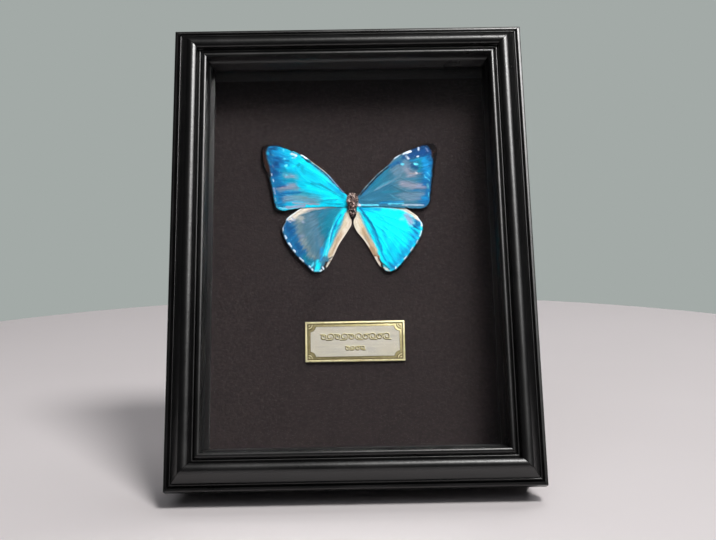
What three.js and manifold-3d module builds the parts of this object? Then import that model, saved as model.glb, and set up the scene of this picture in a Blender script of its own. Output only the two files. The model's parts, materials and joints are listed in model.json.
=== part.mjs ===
// A butterfly specimen in a black shadow-box frame that leans back on its easel strut.
// Millimetres, +Z up, front facing -Y, origin at the middle of the footprint's bounding box.
//
// The frame is drawn upright and then leant back. In the upright frame x runs to the right,
// y is the depth behind the moulding's outer arris, and z is the height above its lower edge.

import * as THREE from "three";
import { mergeVertices } from "three/addons/utils/BufferGeometryUtils.js";
import Module from "manifold-3d";

const wasm = await Module();
wasm.setup();

// Driving dimensions
const FRAME_WIDTH = 165;
const FRAME_HEIGHT = 218;
const FRAME_DEPTH = 30;
const LEAN = THREE.MathUtils.degToRad(24);
const GAP = 0.3;
const MITRE_GAP = 0.1;

// The moulding's stick, seen in section: insets from the outer edge, and depths
const LIP_DEPTH = 7;
const BODY_INSET = 4;
const RABBET_INSET = 11;
const SIGHT_INSET = 18.6;
const SIGHT_DEPTH = 4.9;
const RABBET_DEPTH = 6.3;

// What the rabbet holds, from the front
const GLASS_THICKNESS = 2;
const SPACER_WIDTH = 6;
const BACKING_FACE = 21;
const BACKING_THICKNESS = 3;
const PANEL_THICKNESS = 2.5;
const POINT_THICKNESS = 0.8;

// Label plate
const PLATE_WIDTH = 45.7;
const PLATE_HEIGHT = 18.9;
const PLATE_THICKNESS = 1;
const PLATE_RIM = 1;
const PLATE_RELIEF = 0.3;
const PLATE_CENTRE_DROP = 40;

// Butterfly
const SPECIMEN_OFFSET = 0.9;
const SPECIMEN_LIFT = 1.05;
const WING_SIZE = 1.006;
const WING_THICKNESS = 0.5;
const WING_RISE = THREE.MathUtils.degToRad(0.5);
const FOREWING_DEPTH = 19.5;
const HINDWING_DEPTH = 20.25;
const BODY_AXIS_DEPTH = 18.4;
const BODY_HEIGHT_RATIO = 0.9;
const OUTLINE_STEPS = 84;

// Easel strut
const HINGE_HEIGHT = 152;
const HINGE_DEPTH = 30;
const STRUT_OPENING = THREE.MathUtils.degToRad(33);
const STRUT_THICKNESS = 2.8;
const STRUT_TOP_WIDTH = 28;
const STRUT_FOOT_WIDTH = 44;
const STRUT_TOP_DROP = 4;
const PIN_RADIUS = 1;
const PIN_CLEARANCE = 0.1;
const KNUCKLE_RADIUS = 2.5;
const LEAF_THICKNESS = 0.8;
const HINGE_LENGTH = 28;
const MOVING_KNUCKLE_LENGTH = 13.4;
const LEAF_REACH = 24;

const blackPaint = new THREE.MeshStandardMaterial({ color: 0x101011, roughness: 0.35 });
const clearGlass = new THREE.MeshStandardMaterial({
  color: 0xe8f0f0, roughness: 0.05, opacity: 0.2, transparent: true,
});
const blackCard = new THREE.MeshStandardMaterial({ color: 0x17161a, roughness: 0.9 });
const charcoalCloth = new THREE.MeshStandardMaterial({ color: 0x332e2f, roughness: 0.95 });
const brownBoard = new THREE.MeshStandardMaterial({ color: 0x4a3a2c, roughness: 0.85 });
const steel = new THREE.MeshStandardMaterial({ color: 0xb9bbbd, roughness: 0.4, metalness: 1 });
const giltBrass = new THREE.MeshStandardMaterial({ color: 0xc9b067, roughness: 0.35, metalness: 1 });
const brownFur = new THREE.MeshStandardMaterial({ color: 0x5a4334, roughness: 1 });
const skyBlueWing = new THREE.MeshStandardMaterial({ color: 0x14a8dc, roughness: 0.4 });
const paleBlueWing = new THREE.MeshStandardMaterial({ color: 0x5fa3c4, roughness: 0.5 });

const frameBox = new THREE.Group();

function addMesh(parent, name, geometry, material) {
  const mesh = new THREE.Mesh(geometry, material);
  mesh.name = name;
  parent.add(mesh);
  return mesh;
}

// A box from its lowest to its highest corner
function boxBetween(low, high) {
  const size = new THREE.Vector3().subVectors(high, low);
  const middle = new THREE.Vector3().addVectors(low, high).multiplyScalar(0.5);
  return new THREE.BoxGeometry(size.x, size.y, size.z).translate(middle.x, middle.y, middle.z);
}

function solidFrom(geometry) {
  const bare = geometry.clone();
  bare.deleteAttribute("normal");
  bare.deleteAttribute("uv");
  const merged = mergeVertices(bare, 1e-4);
  return new wasm.Manifold(
    new wasm.Mesh({
      numProp: 3,
      vertProperties: new Float32Array(merged.attributes.position.array),
      triVerts: new Uint32Array(merged.index.array),
    }),
  );
}

function geometryFrom(solid) {
  const mesh = solid.getMesh();
  const geometry = new THREE.BufferGeometry();
  geometry.setAttribute("position", new THREE.BufferAttribute(mesh.vertProperties, 3));
  geometry.setIndex(new THREE.BufferAttribute(mesh.triVerts, 1));
  geometry.computeVertexNormals();
  return geometry;
}

// One body out of several that overlap
function joined(...geometries) {
  return geometryFrom(geometries.map(solidFrom).reduce((sum, next) => sum.add(next)));
}

function cutBy(geometry, tool) {
  return geometryFrom(solidFrom(geometry).subtract(solidFrom(tool)));
}

// A closed body with flat ends along x: the outline turns anticlockwise in the plane of
// depth and height, and endsAt gives the two x values at each of its points.
function stickAlongX(outline, endsAt) {
  const count = outline.length;
  const positions = [];
  for (const end of [0, 1]) {
    for (const point of outline) {
      positions.push(endsAt(point)[end], point.x, point.y);
    }
  }
  const index = [];
  for (let a = 0; a < count; a++) {
    const b = (a + 1) % count;
    index.push(a, b, b + count, a, b + count, a + count);
  }
  for (const [a, b, c] of THREE.ShapeUtils.triangulateShape(outline, [])) {
    index.push(c, b, a, a + count, b + count, c + count);
  }
  const geometry = new THREE.BufferGeometry();
  geometry.setAttribute("position", new THREE.Float32BufferAttribute(positions, 3));
  geometry.setIndex(index);
  geometry.computeVertexNormals();
  return geometry;
}

// Points on a round, from one angle to another, with insets to the right and heights up
function round(inset, height, radius, from, to, steps) {
  const points = [];
  for (let k = 0; k <= steps; k++) {
    const angle = THREE.MathUtils.degToRad(from + ((to - from) * k) / steps);
    points.push([inset + radius * Math.cos(angle), height + radius * Math.sin(angle)]);
  }
  return points;
}

// The moulding's section as [inset, height in front of the outer arris], from the outer
// back corner over the ornament to the sight edge and round the rabbet
function mouldingSection() {
  const section = [
    [0, -LIP_DEPTH],
    ...round(0.5, -0.5, 0.5, 180, 90, 2),
    [1.3, 0],
    [1.5, -0.4],
    [1.95, -0.4],
    ...round(2.45, 0.1, 0.5, 180, 90, 2),
    ...round(3.3, 3.4, 2.8, -86, -10, 6),
    ...round(7.7, 4.2, 1.6, 195, 125, 4),
    ...round(8.75, 2.75, 3.6, 118, 66, 4),
    ...round(9.85, 4.55, 1.5, 60, -20, 4),
    ...round(12.4, 2.1, 0.5, 180, 0, 4),
    [13.05, 1.5],
    [13.45, 1.6],
    ...round(14.7, 3.6, 1.05, 180, 0, 6),
    [15.9, 2.6],
    [16.25, 1.2],
    [16.7, 0.3],
    [17.3, -0.1],
    [17.6, -0.9],
    [SIGHT_INSET - 0.1, -SIGHT_DEPTH + 0.3],
    [SIGHT_INSET, -SIGHT_DEPTH],
    [SIGHT_INSET, -RABBET_DEPTH],
    [RABBET_INSET, -RABBET_DEPTH],
    [RABBET_INSET, -FRAME_DEPTH],
    [BODY_INSET, -FRAME_DEPTH],
    [BODY_INSET, -LIP_DEPTH],
  ];
  return section.map(([inset, height]) => new THREE.Vector2(-height, inset)).reverse();
}

// One mitred stick of the frame, its outer edge on the line z = 0 and its middle at x = 0
function mouldingStick(length) {
  return stickAlongX(mouldingSection(), (point) => {
    const reach = length / 2 - point.y - MITRE_GAP;
    return [-reach, reach];
  });
}

function addMoulding() {
  const sticks = [
    ["moulding_bottom", FRAME_WIDTH, 0, 0, 0],
    ["moulding_top", FRAME_WIDTH, 0, FRAME_HEIGHT, Math.PI],
    ["moulding_left", FRAME_HEIGHT, -FRAME_WIDTH / 2, FRAME_HEIGHT / 2, Math.PI / 2],
    ["moulding_right", FRAME_HEIGHT, FRAME_WIDTH / 2, FRAME_HEIGHT / 2, -Math.PI / 2],
  ];
  for (const [name, length, x, z, turn] of sticks) {
    const stick = addMesh(frameBox, name, mouldingStick(length), blackPaint);
    stick.position.set(x, 0, z);
    stick.rotation.y = turn;
  }
}

// A board behind the sight opening, with its edges clear of the rabbet's walls
function rabbetBoard(nearDepth, thickness) {
  const edge = RABBET_INSET + GAP;
  return boxBetween(
    new THREE.Vector3(-FRAME_WIDTH / 2 + edge, nearDepth, edge),
    new THREE.Vector3(FRAME_WIDTH / 2 - edge, nearDepth + thickness, FRAME_HEIGHT - edge),
  );
}

const GLASS_FACE = RABBET_DEPTH + GAP;
const SPACER_FACE = GLASS_FACE + GLASS_THICKNESS + GAP;
const SPACER_BACK = BACKING_FACE - GAP;
const PANEL_FACE = BACKING_FACE + BACKING_THICKNESS + GAP;
const PANEL_BACK = PANEL_FACE + PANEL_THICKNESS;
const POINT_FACE = PANEL_BACK + GAP;

function addSpacers() {
  const outer = RABBET_INSET + GAP;
  const inner = outer + SPACER_WIDTH;
  const half = FRAME_WIDTH / 2;
  const strips = [
    ["spacer_bottom", -half + outer, half - outer, outer, inner],
    ["spacer_top", -half + outer, half - outer, FRAME_HEIGHT - inner, FRAME_HEIGHT - outer],
    ["spacer_left", -half + outer, -half + inner, inner + GAP, FRAME_HEIGHT - inner - GAP],
    ["spacer_right", half - inner, half - outer, inner + GAP, FRAME_HEIGHT - inner - GAP],
  ];
  for (const [name, left, right, bottom, top] of strips) {
    const low = new THREE.Vector3(left, SPACER_FACE, bottom);
    const high = new THREE.Vector3(right, SPACER_BACK, top);
    addMesh(frameBox, name, boxBetween(low, high), blackCard);
  }
}

// Thin steel tabs, driven into the rabbet's walls, that hold the back panel in
function addRetainingPoints() {
  const POINT_WIDTH = 7;
  const POINT_REACH = 9;
  const root = RABBET_INSET + GAP;
  const shape = new THREE.Shape();
  shape.moveTo(-POINT_WIDTH / 2, 0);
  shape.lineTo(POINT_WIDTH / 2, 0);
  shape.lineTo(POINT_WIDTH / 4, POINT_REACH);
  shape.lineTo(-POINT_WIDTH / 4, POINT_REACH);
  shape.closePath();
  const side = FRAME_WIDTH / 2 - root;
  const places = [
    [0, root, 0],
    [0, FRAME_HEIGHT - root, Math.PI],
    [-side, FRAME_HEIGHT * 0.28, Math.PI / 2],
    [-side, FRAME_HEIGHT * 0.72, Math.PI / 2],
    [side, FRAME_HEIGHT * 0.28, -Math.PI / 2],
    [side, FRAME_HEIGHT * 0.72, -Math.PI / 2],
  ];
  places.forEach(([x, z, turn], number) => {
    const tab = new THREE.ExtrudeGeometry(shape, { depth: POINT_THICKNESS, bevelEnabled: false });
    tab.rotateX(Math.PI / 2);
    const mesh = addMesh(frameBox, `retaining_point_${number + 1}`, tab, steel);
    mesh.position.set(x, POINT_FACE + POINT_THICKNESS, z);
    mesh.rotation.y = turn;
  });
}

// A bare metal plate with a raised rim
function labelPlate() {
  const half = PLATE_WIDTH / 2;
  const rise = PLATE_HEIGHT / 2;
  const full = boxBetween(
    new THREE.Vector3(-half, 0, -rise),
    new THREE.Vector3(half, PLATE_THICKNESS, rise),
  );
  const hollow = boxBetween(
    new THREE.Vector3(-half + PLATE_RIM, -1, -rise + PLATE_RIM),
    new THREE.Vector3(half - PLATE_RIM, PLATE_RELIEF, rise - PLATE_RIM),
  );
  return cutBy(full, hollow);
}

// Wing outlines as [distance from the body's axis, height above the frame's middle], from
// the root along the leading edge, down the outer margin and back
const FOREWING_LEFT = [
  [3, 30.2], [6.3, 34.2], [12.1, 41.3], [18, 46.3], [24.2, 51.1], [28.9, 53.3], [33.2, 55],
  [36.3, 55.9], [39.6, 56], [41.9, 55.1], [42.6, 52.7], [42.5, 49.1], [41.7, 45], [39.8, 40.5],
  [38.6, 36], [37.6, 30.9], [36.9, 25.9], [35.3, 23.3], [33.2, 22.5], [28.5, 23.2],
  [23.1, 23.9], [12.3, 24.3], [3, 24.9],
];
const FOREWING_RIGHT = [
  [3, 29.8], [6, 33.7], [12.1, 40.3], [17.2, 44.7], [20.1, 48.2], [23.3, 50.2], [28.3, 52.6],
  [33.1, 54.4], [36.8, 55.6], [38.9, 55.3], [40.5, 53.4], [40.6, 50.3], [39.7, 45.2],
  [38.8, 40.2], [37.7, 34.4], [37, 29.2], [36.1, 25], [33.8, 22.8], [29.7, 22.5], [23.7, 23],
  [11.7, 23.9], [3, 24.9],
];
const HINDWING_LEFT = [
  [3, 25.6], [12.3, 26.5], [21.5, 25.4], [27.9, 20.9], [31.5, 17.6], [33.2, 14.1], [32.8, 10.6],
  [30.4, 5.6], [26.8, 0.7], [22.6, -3.7], [19.2, -7.2], [16.2, -7.8], [14.2, -7.3], [12.7, -5.6],
  [9.6, -0.5], [6.7, 5.7], [2.9, 11.6], [0.8, 15.4], [0.7, 17.8], [1.7, 19.3], [2.9, 21.3],
];
const HINDWING_RIGHT = [
  [3, 25.4], [11.8, 26.3], [21.5, 25], [27.3, 21.4], [30.8, 18.4], [32.7, 15.4], [32.7, 12.3],
  [31, 7.7], [27.8, 2.8], [24.2, -2], [20.2, -6.4], [17.5, -7.9], [15.9, -7.9], [14.3, -6.6],
  [12.2, -3.4], [10, -0.1], [5.5, 7], [1.8, 12], [0.4, 15.4], [0.5, 17.8], [1.7, 19.3],
  [2.9, 21.3],
];

// A thin plate with a smooth outline, lying in the plane of x and z
function wingPlate(outline, side) {
  const corners = outline.map(([out, up]) => new THREE.Vector3(side * out, up, 0).multiplyScalar(WING_SIZE));
  const edge = new THREE.CatmullRomCurve3(corners, true, "centripetal");
  const points = edge.getPoints(OUTLINE_STEPS).slice(0, -1);
  const shape = new THREE.Shape(points.map((point) => new THREE.Vector2(point.x, point.y)));
  const plate = new THREE.ExtrudeGeometry(shape, { depth: WING_THICKNESS, bevelEnabled: false });
  plate.rotateX(Math.PI / 2);
  return plate;
}

// Furry thorax and head as [half width, height above the frame's middle]
const BODY_PROFILE = [
  [0, 19.2], [0.7, 19.5], [1.5, 20.2], [2.1, 21.3], [2.5, 22.8], [2.6, 24.8], [2.5, 26.8],
  [2.1, 28.4], [1.6, 29.3], [1.7, 30.1], [1.5, 31], [0.8, 31.6], [0, 31.8],
];

function insectBody() {
  const profile = BODY_PROFILE.map(([radius, up]) => new THREE.Vector2(radius, up));
  const turned = new THREE.LatheGeometry(profile, 20);
  turned.rotateX(Math.PI / 2);
  return turned.scale(1, BODY_HEIGHT_RATIO, 1);
}

function addButterfly() {
  const specimen = new THREE.Group();
  specimen.position.set(SPECIMEN_OFFSET, 0, FRAME_HEIGHT / 2 + SPECIMEN_LIFT);
  frameBox.add(specimen);
  addMesh(specimen, "body", insectBody(), brownFur).position.y = BODY_AXIS_DEPTH;
  const wings = [
    ["forewing_left", FOREWING_LEFT, -1, FOREWING_DEPTH, skyBlueWing],
    ["forewing_right", FOREWING_RIGHT, 1, FOREWING_DEPTH, paleBlueWing],
    ["hindwing_left", HINDWING_LEFT, -1, HINDWING_DEPTH, paleBlueWing],
    ["hindwing_right", HINDWING_RIGHT, 1, HINDWING_DEPTH, skyBlueWing],
  ];
  for (const [name, outline, side, depth, material] of wings) {
    const wing = addMesh(specimen, name, wingPlate(outline, side), material);
    wing.position.y = depth + WING_THICKNESS / 2;
    wing.rotation.z = -side * WING_RISE;
  }
}

// A tube or a rod along x, centred on the hinge's axis
function rodAlongX(radius, from, to) {
  const rod = new THREE.CylinderGeometry(radius, radius, to - from, 24);
  return rod.rotateZ(Math.PI / 2).translate((from + to) / 2, 0, 0);
}

const STRUT_LEAN = STRUT_OPENING - LEAN;
const KNUCKLE_GAP = 0.3;

// Height of the hinge's axis above the surface that the frame's lower back edge rests on
const HINGE_CLIMB =
  (HINGE_HEIGHT - BODY_INSET) * Math.cos(LEAN) + (FRAME_DEPTH - HINGE_DEPTH) * Math.sin(LEAN);

function fixedHingePlate() {
  const half = HINGE_LENGTH / 2;
  const inner = MOVING_KNUCKLE_LENGTH / 2 + KNUCKLE_GAP;
  const near = PANEL_BACK + GAP - HINGE_DEPTH;
  const plate = boxBetween(
    new THREE.Vector3(-half, near, KNUCKLE_RADIUS + 0.5),
    new THREE.Vector3(half, near + LEAF_THICKNESS, 20),
  );
  const pieces = [plate];
  for (const side of [-1, 1]) {
    const from = Math.min(side * inner, side * half);
    const to = Math.max(side * inner, side * half);
    pieces.push(rodAlongX(KNUCKLE_RADIUS, from, to));
    pieces.push(
      boxBetween(
        new THREE.Vector3(from, near, -0.5),
        new THREE.Vector3(to, near + LEAF_THICKNESS, KNUCKLE_RADIUS + 1),
      ),
    );
  }
  return cutBy(joined(...pieces), rodAlongX(PIN_RADIUS + PIN_CLEARANCE, -half - 1, half + 1));
}

// The strut's own leaf: a knuckle and a plate on the board's outer face
function strutLeaf() {
  const half = MOVING_KNUCKLE_LENGTH / 2;
  const near = STRUT_THICKNESS / 2 + GAP;
  const knuckle = rodAlongX(KNUCKLE_RADIUS, -half, half);
  const plate = boxBetween(
    new THREE.Vector3(-half, near, -LEAF_REACH),
    new THREE.Vector3(half, near + LEAF_THICKNESS, 0),
  );
  return cutBy(joined(knuckle, plate), rodAlongX(PIN_RADIUS + PIN_CLEARANCE, -half - 1, half + 1));
}

// The board, from just below the knuckle to a foot cut flat to the surface it stands on
function strutBoard() {
  const half = STRUT_THICKNESS / 2;
  const footAt = (depth) => -(HINGE_CLIMB + depth * Math.sin(STRUT_LEAN)) / Math.cos(STRUT_LEAN);
  const outline = [
    new THREE.Vector2(-half, footAt(-half)),
    new THREE.Vector2(half, footAt(half)),
    new THREE.Vector2(half, -STRUT_TOP_DROP),
    new THREE.Vector2(-half, -STRUT_TOP_DROP),
  ];
  return stickAlongX(outline, (point) => {
    const width = point.y === -STRUT_TOP_DROP ? STRUT_TOP_WIDTH : STRUT_FOOT_WIDTH;
    return [-width / 2, width / 2];
  });
}

function addStrut() {
  const hinge = new THREE.Group();
  hinge.position.set(0, HINGE_DEPTH, HINGE_HEIGHT);
  frameBox.add(hinge);
  addMesh(hinge, "hinge_plate", fixedHingePlate(), steel);
  const pinEnd = HINGE_LENGTH / 2 + 0.8;
  addMesh(hinge, "hinge_pin", rodAlongX(PIN_RADIUS, -pinEnd, pinEnd), steel);
  const swung = new THREE.Group();
  swung.rotation.x = STRUT_OPENING;
  hinge.add(swung);
  addMesh(swung, "strut_leaf", strutLeaf(), steel);
  addMesh(swung, "strut", strutBoard(), brownBoard);
}

addMoulding();
addMesh(frameBox, "glass", rabbetBoard(GLASS_FACE, GLASS_THICKNESS), clearGlass);
addSpacers();
addMesh(frameBox, "backing_board", rabbetBoard(BACKING_FACE, BACKING_THICKNESS), charcoalCloth);
addMesh(frameBox, "back_panel", rabbetBoard(PANEL_FACE, PANEL_THICKNESS), brownBoard);
addRetainingPoints();
const plate = addMesh(frameBox, "label_plate", labelPlate(), giltBrass);
plate.position.set(
  SPECIMEN_OFFSET,
  BACKING_FACE - GAP - PLATE_THICKNESS,
  FRAME_HEIGHT / 2 - PLATE_CENTRE_DROP,
);
addButterfly();
addStrut();

// Leant back, and set down with the footprint's middle at the origin
frameBox.rotation.x = -LEAN;
const specimenFrame = new THREE.Group();
specimenFrame.add(frameBox);
specimenFrame.updateMatrixWorld(true);
const bounds = new THREE.Box3().setFromObject(specimenFrame, true);
frameBox.position.set(0, -(bounds.min.y + bounds.max.y) / 2, -bounds.min.z);

export default specimenFrame;
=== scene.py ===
"""A blue butterfly in a glazed black box frame: the fine shapes and finishes around its solids."""

import json
import math
import random

import bpy
import numpy as np
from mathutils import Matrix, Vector, noise


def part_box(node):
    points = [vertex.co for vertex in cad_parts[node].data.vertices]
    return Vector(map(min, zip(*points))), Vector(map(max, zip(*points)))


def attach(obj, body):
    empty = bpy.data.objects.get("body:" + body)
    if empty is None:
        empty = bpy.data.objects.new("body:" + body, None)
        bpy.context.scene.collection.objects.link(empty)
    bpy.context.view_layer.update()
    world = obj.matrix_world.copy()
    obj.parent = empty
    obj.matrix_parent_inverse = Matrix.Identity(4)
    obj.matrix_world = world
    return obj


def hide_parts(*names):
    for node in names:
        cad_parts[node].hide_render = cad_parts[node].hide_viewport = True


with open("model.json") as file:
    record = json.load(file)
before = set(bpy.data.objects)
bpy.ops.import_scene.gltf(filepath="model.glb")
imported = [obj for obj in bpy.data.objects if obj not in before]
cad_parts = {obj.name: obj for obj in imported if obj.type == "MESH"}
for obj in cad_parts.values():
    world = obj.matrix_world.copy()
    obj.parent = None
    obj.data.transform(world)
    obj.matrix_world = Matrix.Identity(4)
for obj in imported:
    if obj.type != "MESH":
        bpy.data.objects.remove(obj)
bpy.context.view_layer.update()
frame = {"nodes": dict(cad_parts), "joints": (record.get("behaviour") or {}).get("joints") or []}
nodes = frame["nodes"]

MM = 0.001

# The frame box, drawn upright in millimetres: x to the right, y the depth behind the
# moulding's outer arris, z the height above its lower edge
FRAME_WIDTH = 165
FRAME_HEIGHT = 218
FRAME_DEPTH = 30
LEAN = math.radians(24)
MITRE_GAP = 0.1
LIP_DEPTH = 7
BODY_INSET = 4
RABBET_INSET = 11
RABBET_DEPTH = 6.3
SIGHT_INSET = 18.6
SIGHT_DEPTH = 4.9
SIGHT_ROUNDING = (0.1, 0.3)
GLASS_CORNER = (6.6, 8.6, 11.3)
RETAINING_POINTS = 6

# The label plate: its stepped edge, the silvered field, the fans of wire in its corners
# and the rows of scrolls
PLATE_CENTRE = (0.9, 20.2, 69)
PLATE_SIZE = (45.7, 1.0, 18.9)
PLATE_RIM = 0.85
PLATE_ROUNDING = 0.12
GROOVE_WIDTH = 0.45
GROOVE_DEPTH = 0.4
GROOVE_RISE = 0.15
FIELD_MARGIN = 2.35
FIELD_NOTCH = 2.4
FIELD_RISE = 0.1
LINE_WIRE = 0.17
LINE_RISE = 0.04
FAN_INSET = 1.5
FAN_RADII = (0.6, 1.15, 1.7, 2.2)
FAN_WIRE = 0.19
FAN_RISE = 0.02
TRIM_FLATNESS = 0.7

# Scrolls as (count, pitch, height, sizes by turns), their wires as (radius, shift), and the
# shares of a scroll's size at its foot and at its inner turn
UPPER_ROW = (10, 3.2, 2.2, (1.15, 1.45))
LOWER_ROW = (4, 2.3, -3.2, (0.85, 0.85))
SHADE_WIRE = (0.3, 0)
BRIGHT_WIRE = (0.17, 0.16)
SCROLL_FLATNESS = 0.6
SCROLL_FOOT = 1.5
INNER_SHIFT = 0.3
INNER_SIZE = 0.6

# The butterfly, whose places are distances from its axis and heights above the frame's middle
SPECIMEN_X = 0.9
SPECIMEN_HEIGHT = FRAME_HEIGHT / 2 + 1.05
FOREWING_DEPTH = 19.6
HINDWING_DEPTH = 20.0
BODY_AXIS_DEPTH = 18.4

# The easel strut, drawn around the hinge's axis with its foot at the bottom
STRUT_OPENING = math.radians(33)
STRUT_THICKNESS = 2.8
STRUT_TOP_WIDTH = 28
STRUT_FOOT_WIDTH = 44
STRUT_TOP_DROP = 4
STRUT_ROUNDING = 0.5


# ---------------------------------------------------------------- placing

def hold(piece):
    """Makes the piece the only one selected, and the active one."""
    bpy.ops.object.select_all(action="DESELECT")
    piece.select_set(True)
    bpy.context.view_layer.objects.active = piece


def fix_place(piece):
    hold(piece)
    bpy.ops.object.transform_apply(location=True, rotation=True, scale=True)


def set_down(piece, turn, place):
    """Turns the piece about x, moves it to its place, and fixes both in the mesh."""
    piece.rotation_euler = (turn, 0, 0)
    piece.location = place
    fix_place(piece)


def leaning_origin():
    """Where the upright frame's own origin is once the box leans back."""
    near, far, low = (value * MM for value in GLASS_CORNER)
    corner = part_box("glass")[0]
    depth = near * math.cos(LEAN) + low * math.sin(LEAN)
    height = -far * math.sin(LEAN) + low * math.cos(LEAN)
    return Vector((0, corner.y - depth, corner.z - height))


BOX_ORIGIN = leaning_origin()
HINGE_AXIS = Vector(frame["joints"][0]["pos_m"])


def lean_back(piece):
    set_down(piece, -LEAN, BOX_ORIGIN)


def swing_out(piece):
    set_down(piece, STRUT_OPENING - LEAN, HINGE_AXIS)


# ---------------------------------------------------------------- shaping

# In metres but for the last, the least part of a normal that counts as straight ahead
WELD_REACH = 1e-7
SHORTEST_STEP = 1e-8
STRAIGHT = 0.99


def begin(name, add, **settings):
    """Adds an object with one of the add operators and names it."""
    bpy.ops.object.select_all(action="DESELECT")
    add(**settings)
    piece = bpy.context.object
    piece.name = name
    return piece


def edit(piece, selection="DESELECT"):
    hold(piece)
    bpy.ops.object.mode_set(mode="EDIT")
    bpy.ops.mesh.select_all(action=selection)


def leave():
    bpy.ops.object.mode_set(mode="OBJECT")


def extrude(*step):
    bpy.ops.mesh.extrude_region_move(TRANSFORM_OT_translate={"value": step})


def copy_of(piece, name):
    """A copy with its own mesh."""
    hold(piece)
    bpy.ops.object.duplicate(linked=False)
    copy = bpy.context.object
    copy.name = name
    copy.data.name = name
    return copy


def join_into(piece, others):
    hold(piece)
    for other in others:
        other.select_set(True)
    bpy.ops.object.join()
    return piece


def remove(piece):
    bpy.data.objects.remove(piece, do_unlink=True)


def apply_modifier(piece, kind, **settings):
    hold(piece)
    modifier = piece.modifiers.new(kind.lower(), kind)
    for key, value in settings.items():
        setattr(modifier, key, value)
    bpy.ops.object.modifier_apply(modifier=modifier.name)


def bevel(piece, width, segments=3):
    """Rounds the sharp edges, with a width in millimetres."""
    apply_modifier(piece, "BEVEL", width=width * MM, segments=segments, limit_method="ANGLE")


def smooth(piece, angle=35):
    """Shades the piece smooth but for edges sharper than the angle, in degrees."""
    hold(piece)
    bpy.ops.object.shade_smooth_by_angle(angle=math.radians(angle))


def smooth_all(piece):
    """Shades every edge of the piece smooth."""
    hold(piece)
    bpy.ops.object.shade_smooth()


def weld():
    """Joins the vertices that lie on each other, of those selected."""
    bpy.ops.mesh.remove_doubles(threshold=WELD_REACH)


def face_outwards(piece):
    edit(piece, "SELECT")
    weld()
    bpy.ops.mesh.normals_make_consistent(inside=False)
    leave()


def box(name, low, high):
    """A block from its lowest to its highest corner, in millimetres."""
    middle = [(a + b) / 2 * MM for a, b in zip(low, high)]
    size = [(b - a) * MM for a, b in zip(low, high)]
    piece = begin(name, bpy.ops.mesh.primitive_cube_add, size=1, location=middle, scale=size)
    fix_place(piece)
    return piece


def select_front(piece):
    """Selects the faces that face the front, for the next edit."""
    leave()
    for polygon in piece.data.polygons:
        polygon.select = polygon.normal.y < -STRAIGHT
    bpy.ops.object.mode_set(mode="EDIT")
    bpy.ops.mesh.select_mode(type="FACE")


def on_circle(centre, radius, degrees):
    angle = math.radians(degrees)
    return (centre[0] + radius * math.cos(angle), centre[1] + radius * math.sin(angle))


class Pen:
    """Draws one edge line on a plane, from one vertex, in millimetres."""

    def __init__(self, name, start, across=(1, 0, 0), up=(0, 0, 1), origin=(0, 0, 0)):
        self.across = Vector(across)
        self.up = Vector(up)
        self.origin = Vector(origin)
        self.axis = self.across.cross(self.up)
        self.at = start
        self.piece = begin(name, bpy.ops.mesh.primitive_plane_add, size=MM)
        bpy.ops.object.mode_set(mode="EDIT")
        bpy.ops.mesh.select_mode(type="VERT")
        bpy.ops.mesh.select_all(action="SELECT")
        bpy.ops.mesh.merge(type="CENTER")
        bpy.ops.transform.translate(value=self.place(start))

    def place(self, point):
        return (self.origin + self.across * point[0] + self.up * point[1]) * MM

    def line(self, *points):
        for point in points:
            step = self.place(point) - self.place(self.at)
            if step.length > SHORTEST_STEP:
                extrude(*step)
                self.at = point
        return self

    def arc(self, centre, radius, start, end, steps):
        """A stretch of a circle between two angles in degrees, after a line to its start."""
        self.line(on_circle(centre, radius, start))
        bpy.ops.mesh.spin(
            steps=steps, angle=math.radians(start - end), center=self.place(centre), axis=self.axis
        )
        self.at = on_circle(centre, radius, end)
        return self

    def lift(self):
        leave()
        return self.piece

    def fill(self):
        """Closes the line and fills it with one face, which is left selected."""
        bpy.ops.mesh.select_all(action="SELECT")
        weld()
        bpy.ops.mesh.edge_face_add()
        return self.piece


def thread(pen, radius, flatness, resolution=2):
    """Turns a drawn line into a round wire, pressed flat along y about its own depth."""
    piece = pen.lift()
    hold(piece)
    bpy.ops.object.convert(target="CURVE")
    piece.data.bevel_depth = radius * MM
    piece.data.bevel_resolution = resolution
    piece.data.use_fill_caps = True
    bpy.ops.object.convert(target="MESH")
    middle = sum(vertex.co.y for vertex in piece.data.vertices) / len(piece.data.vertices)
    edit(piece, "SELECT")
    bpy.ops.transform.resize(value=(1, flatness, 1), center_override=(0, middle, 0))
    leave()
    return piece


# ---------------------------------------------------------------- finishes

# Nearly all of a noise lies between these
NOISE_LOW = 0.3
NOISE_HIGH = 0.7

# The colour sockets of the mix node, whose other sockets have the same names
MIX_FIRST = 6
MIX_SECOND = 7
MIX_RESULT = 2


def colour(red, green, blue):
    """A screen colour from 0 to 255 as the light it stands for."""
    def linear(value):
        value /= 255
        return value / 12.92 if value <= 0.04045 else ((value + 0.055) / 1.055) ** 2.4

    return (linear(red), linear(green), linear(blue), 1)


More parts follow.
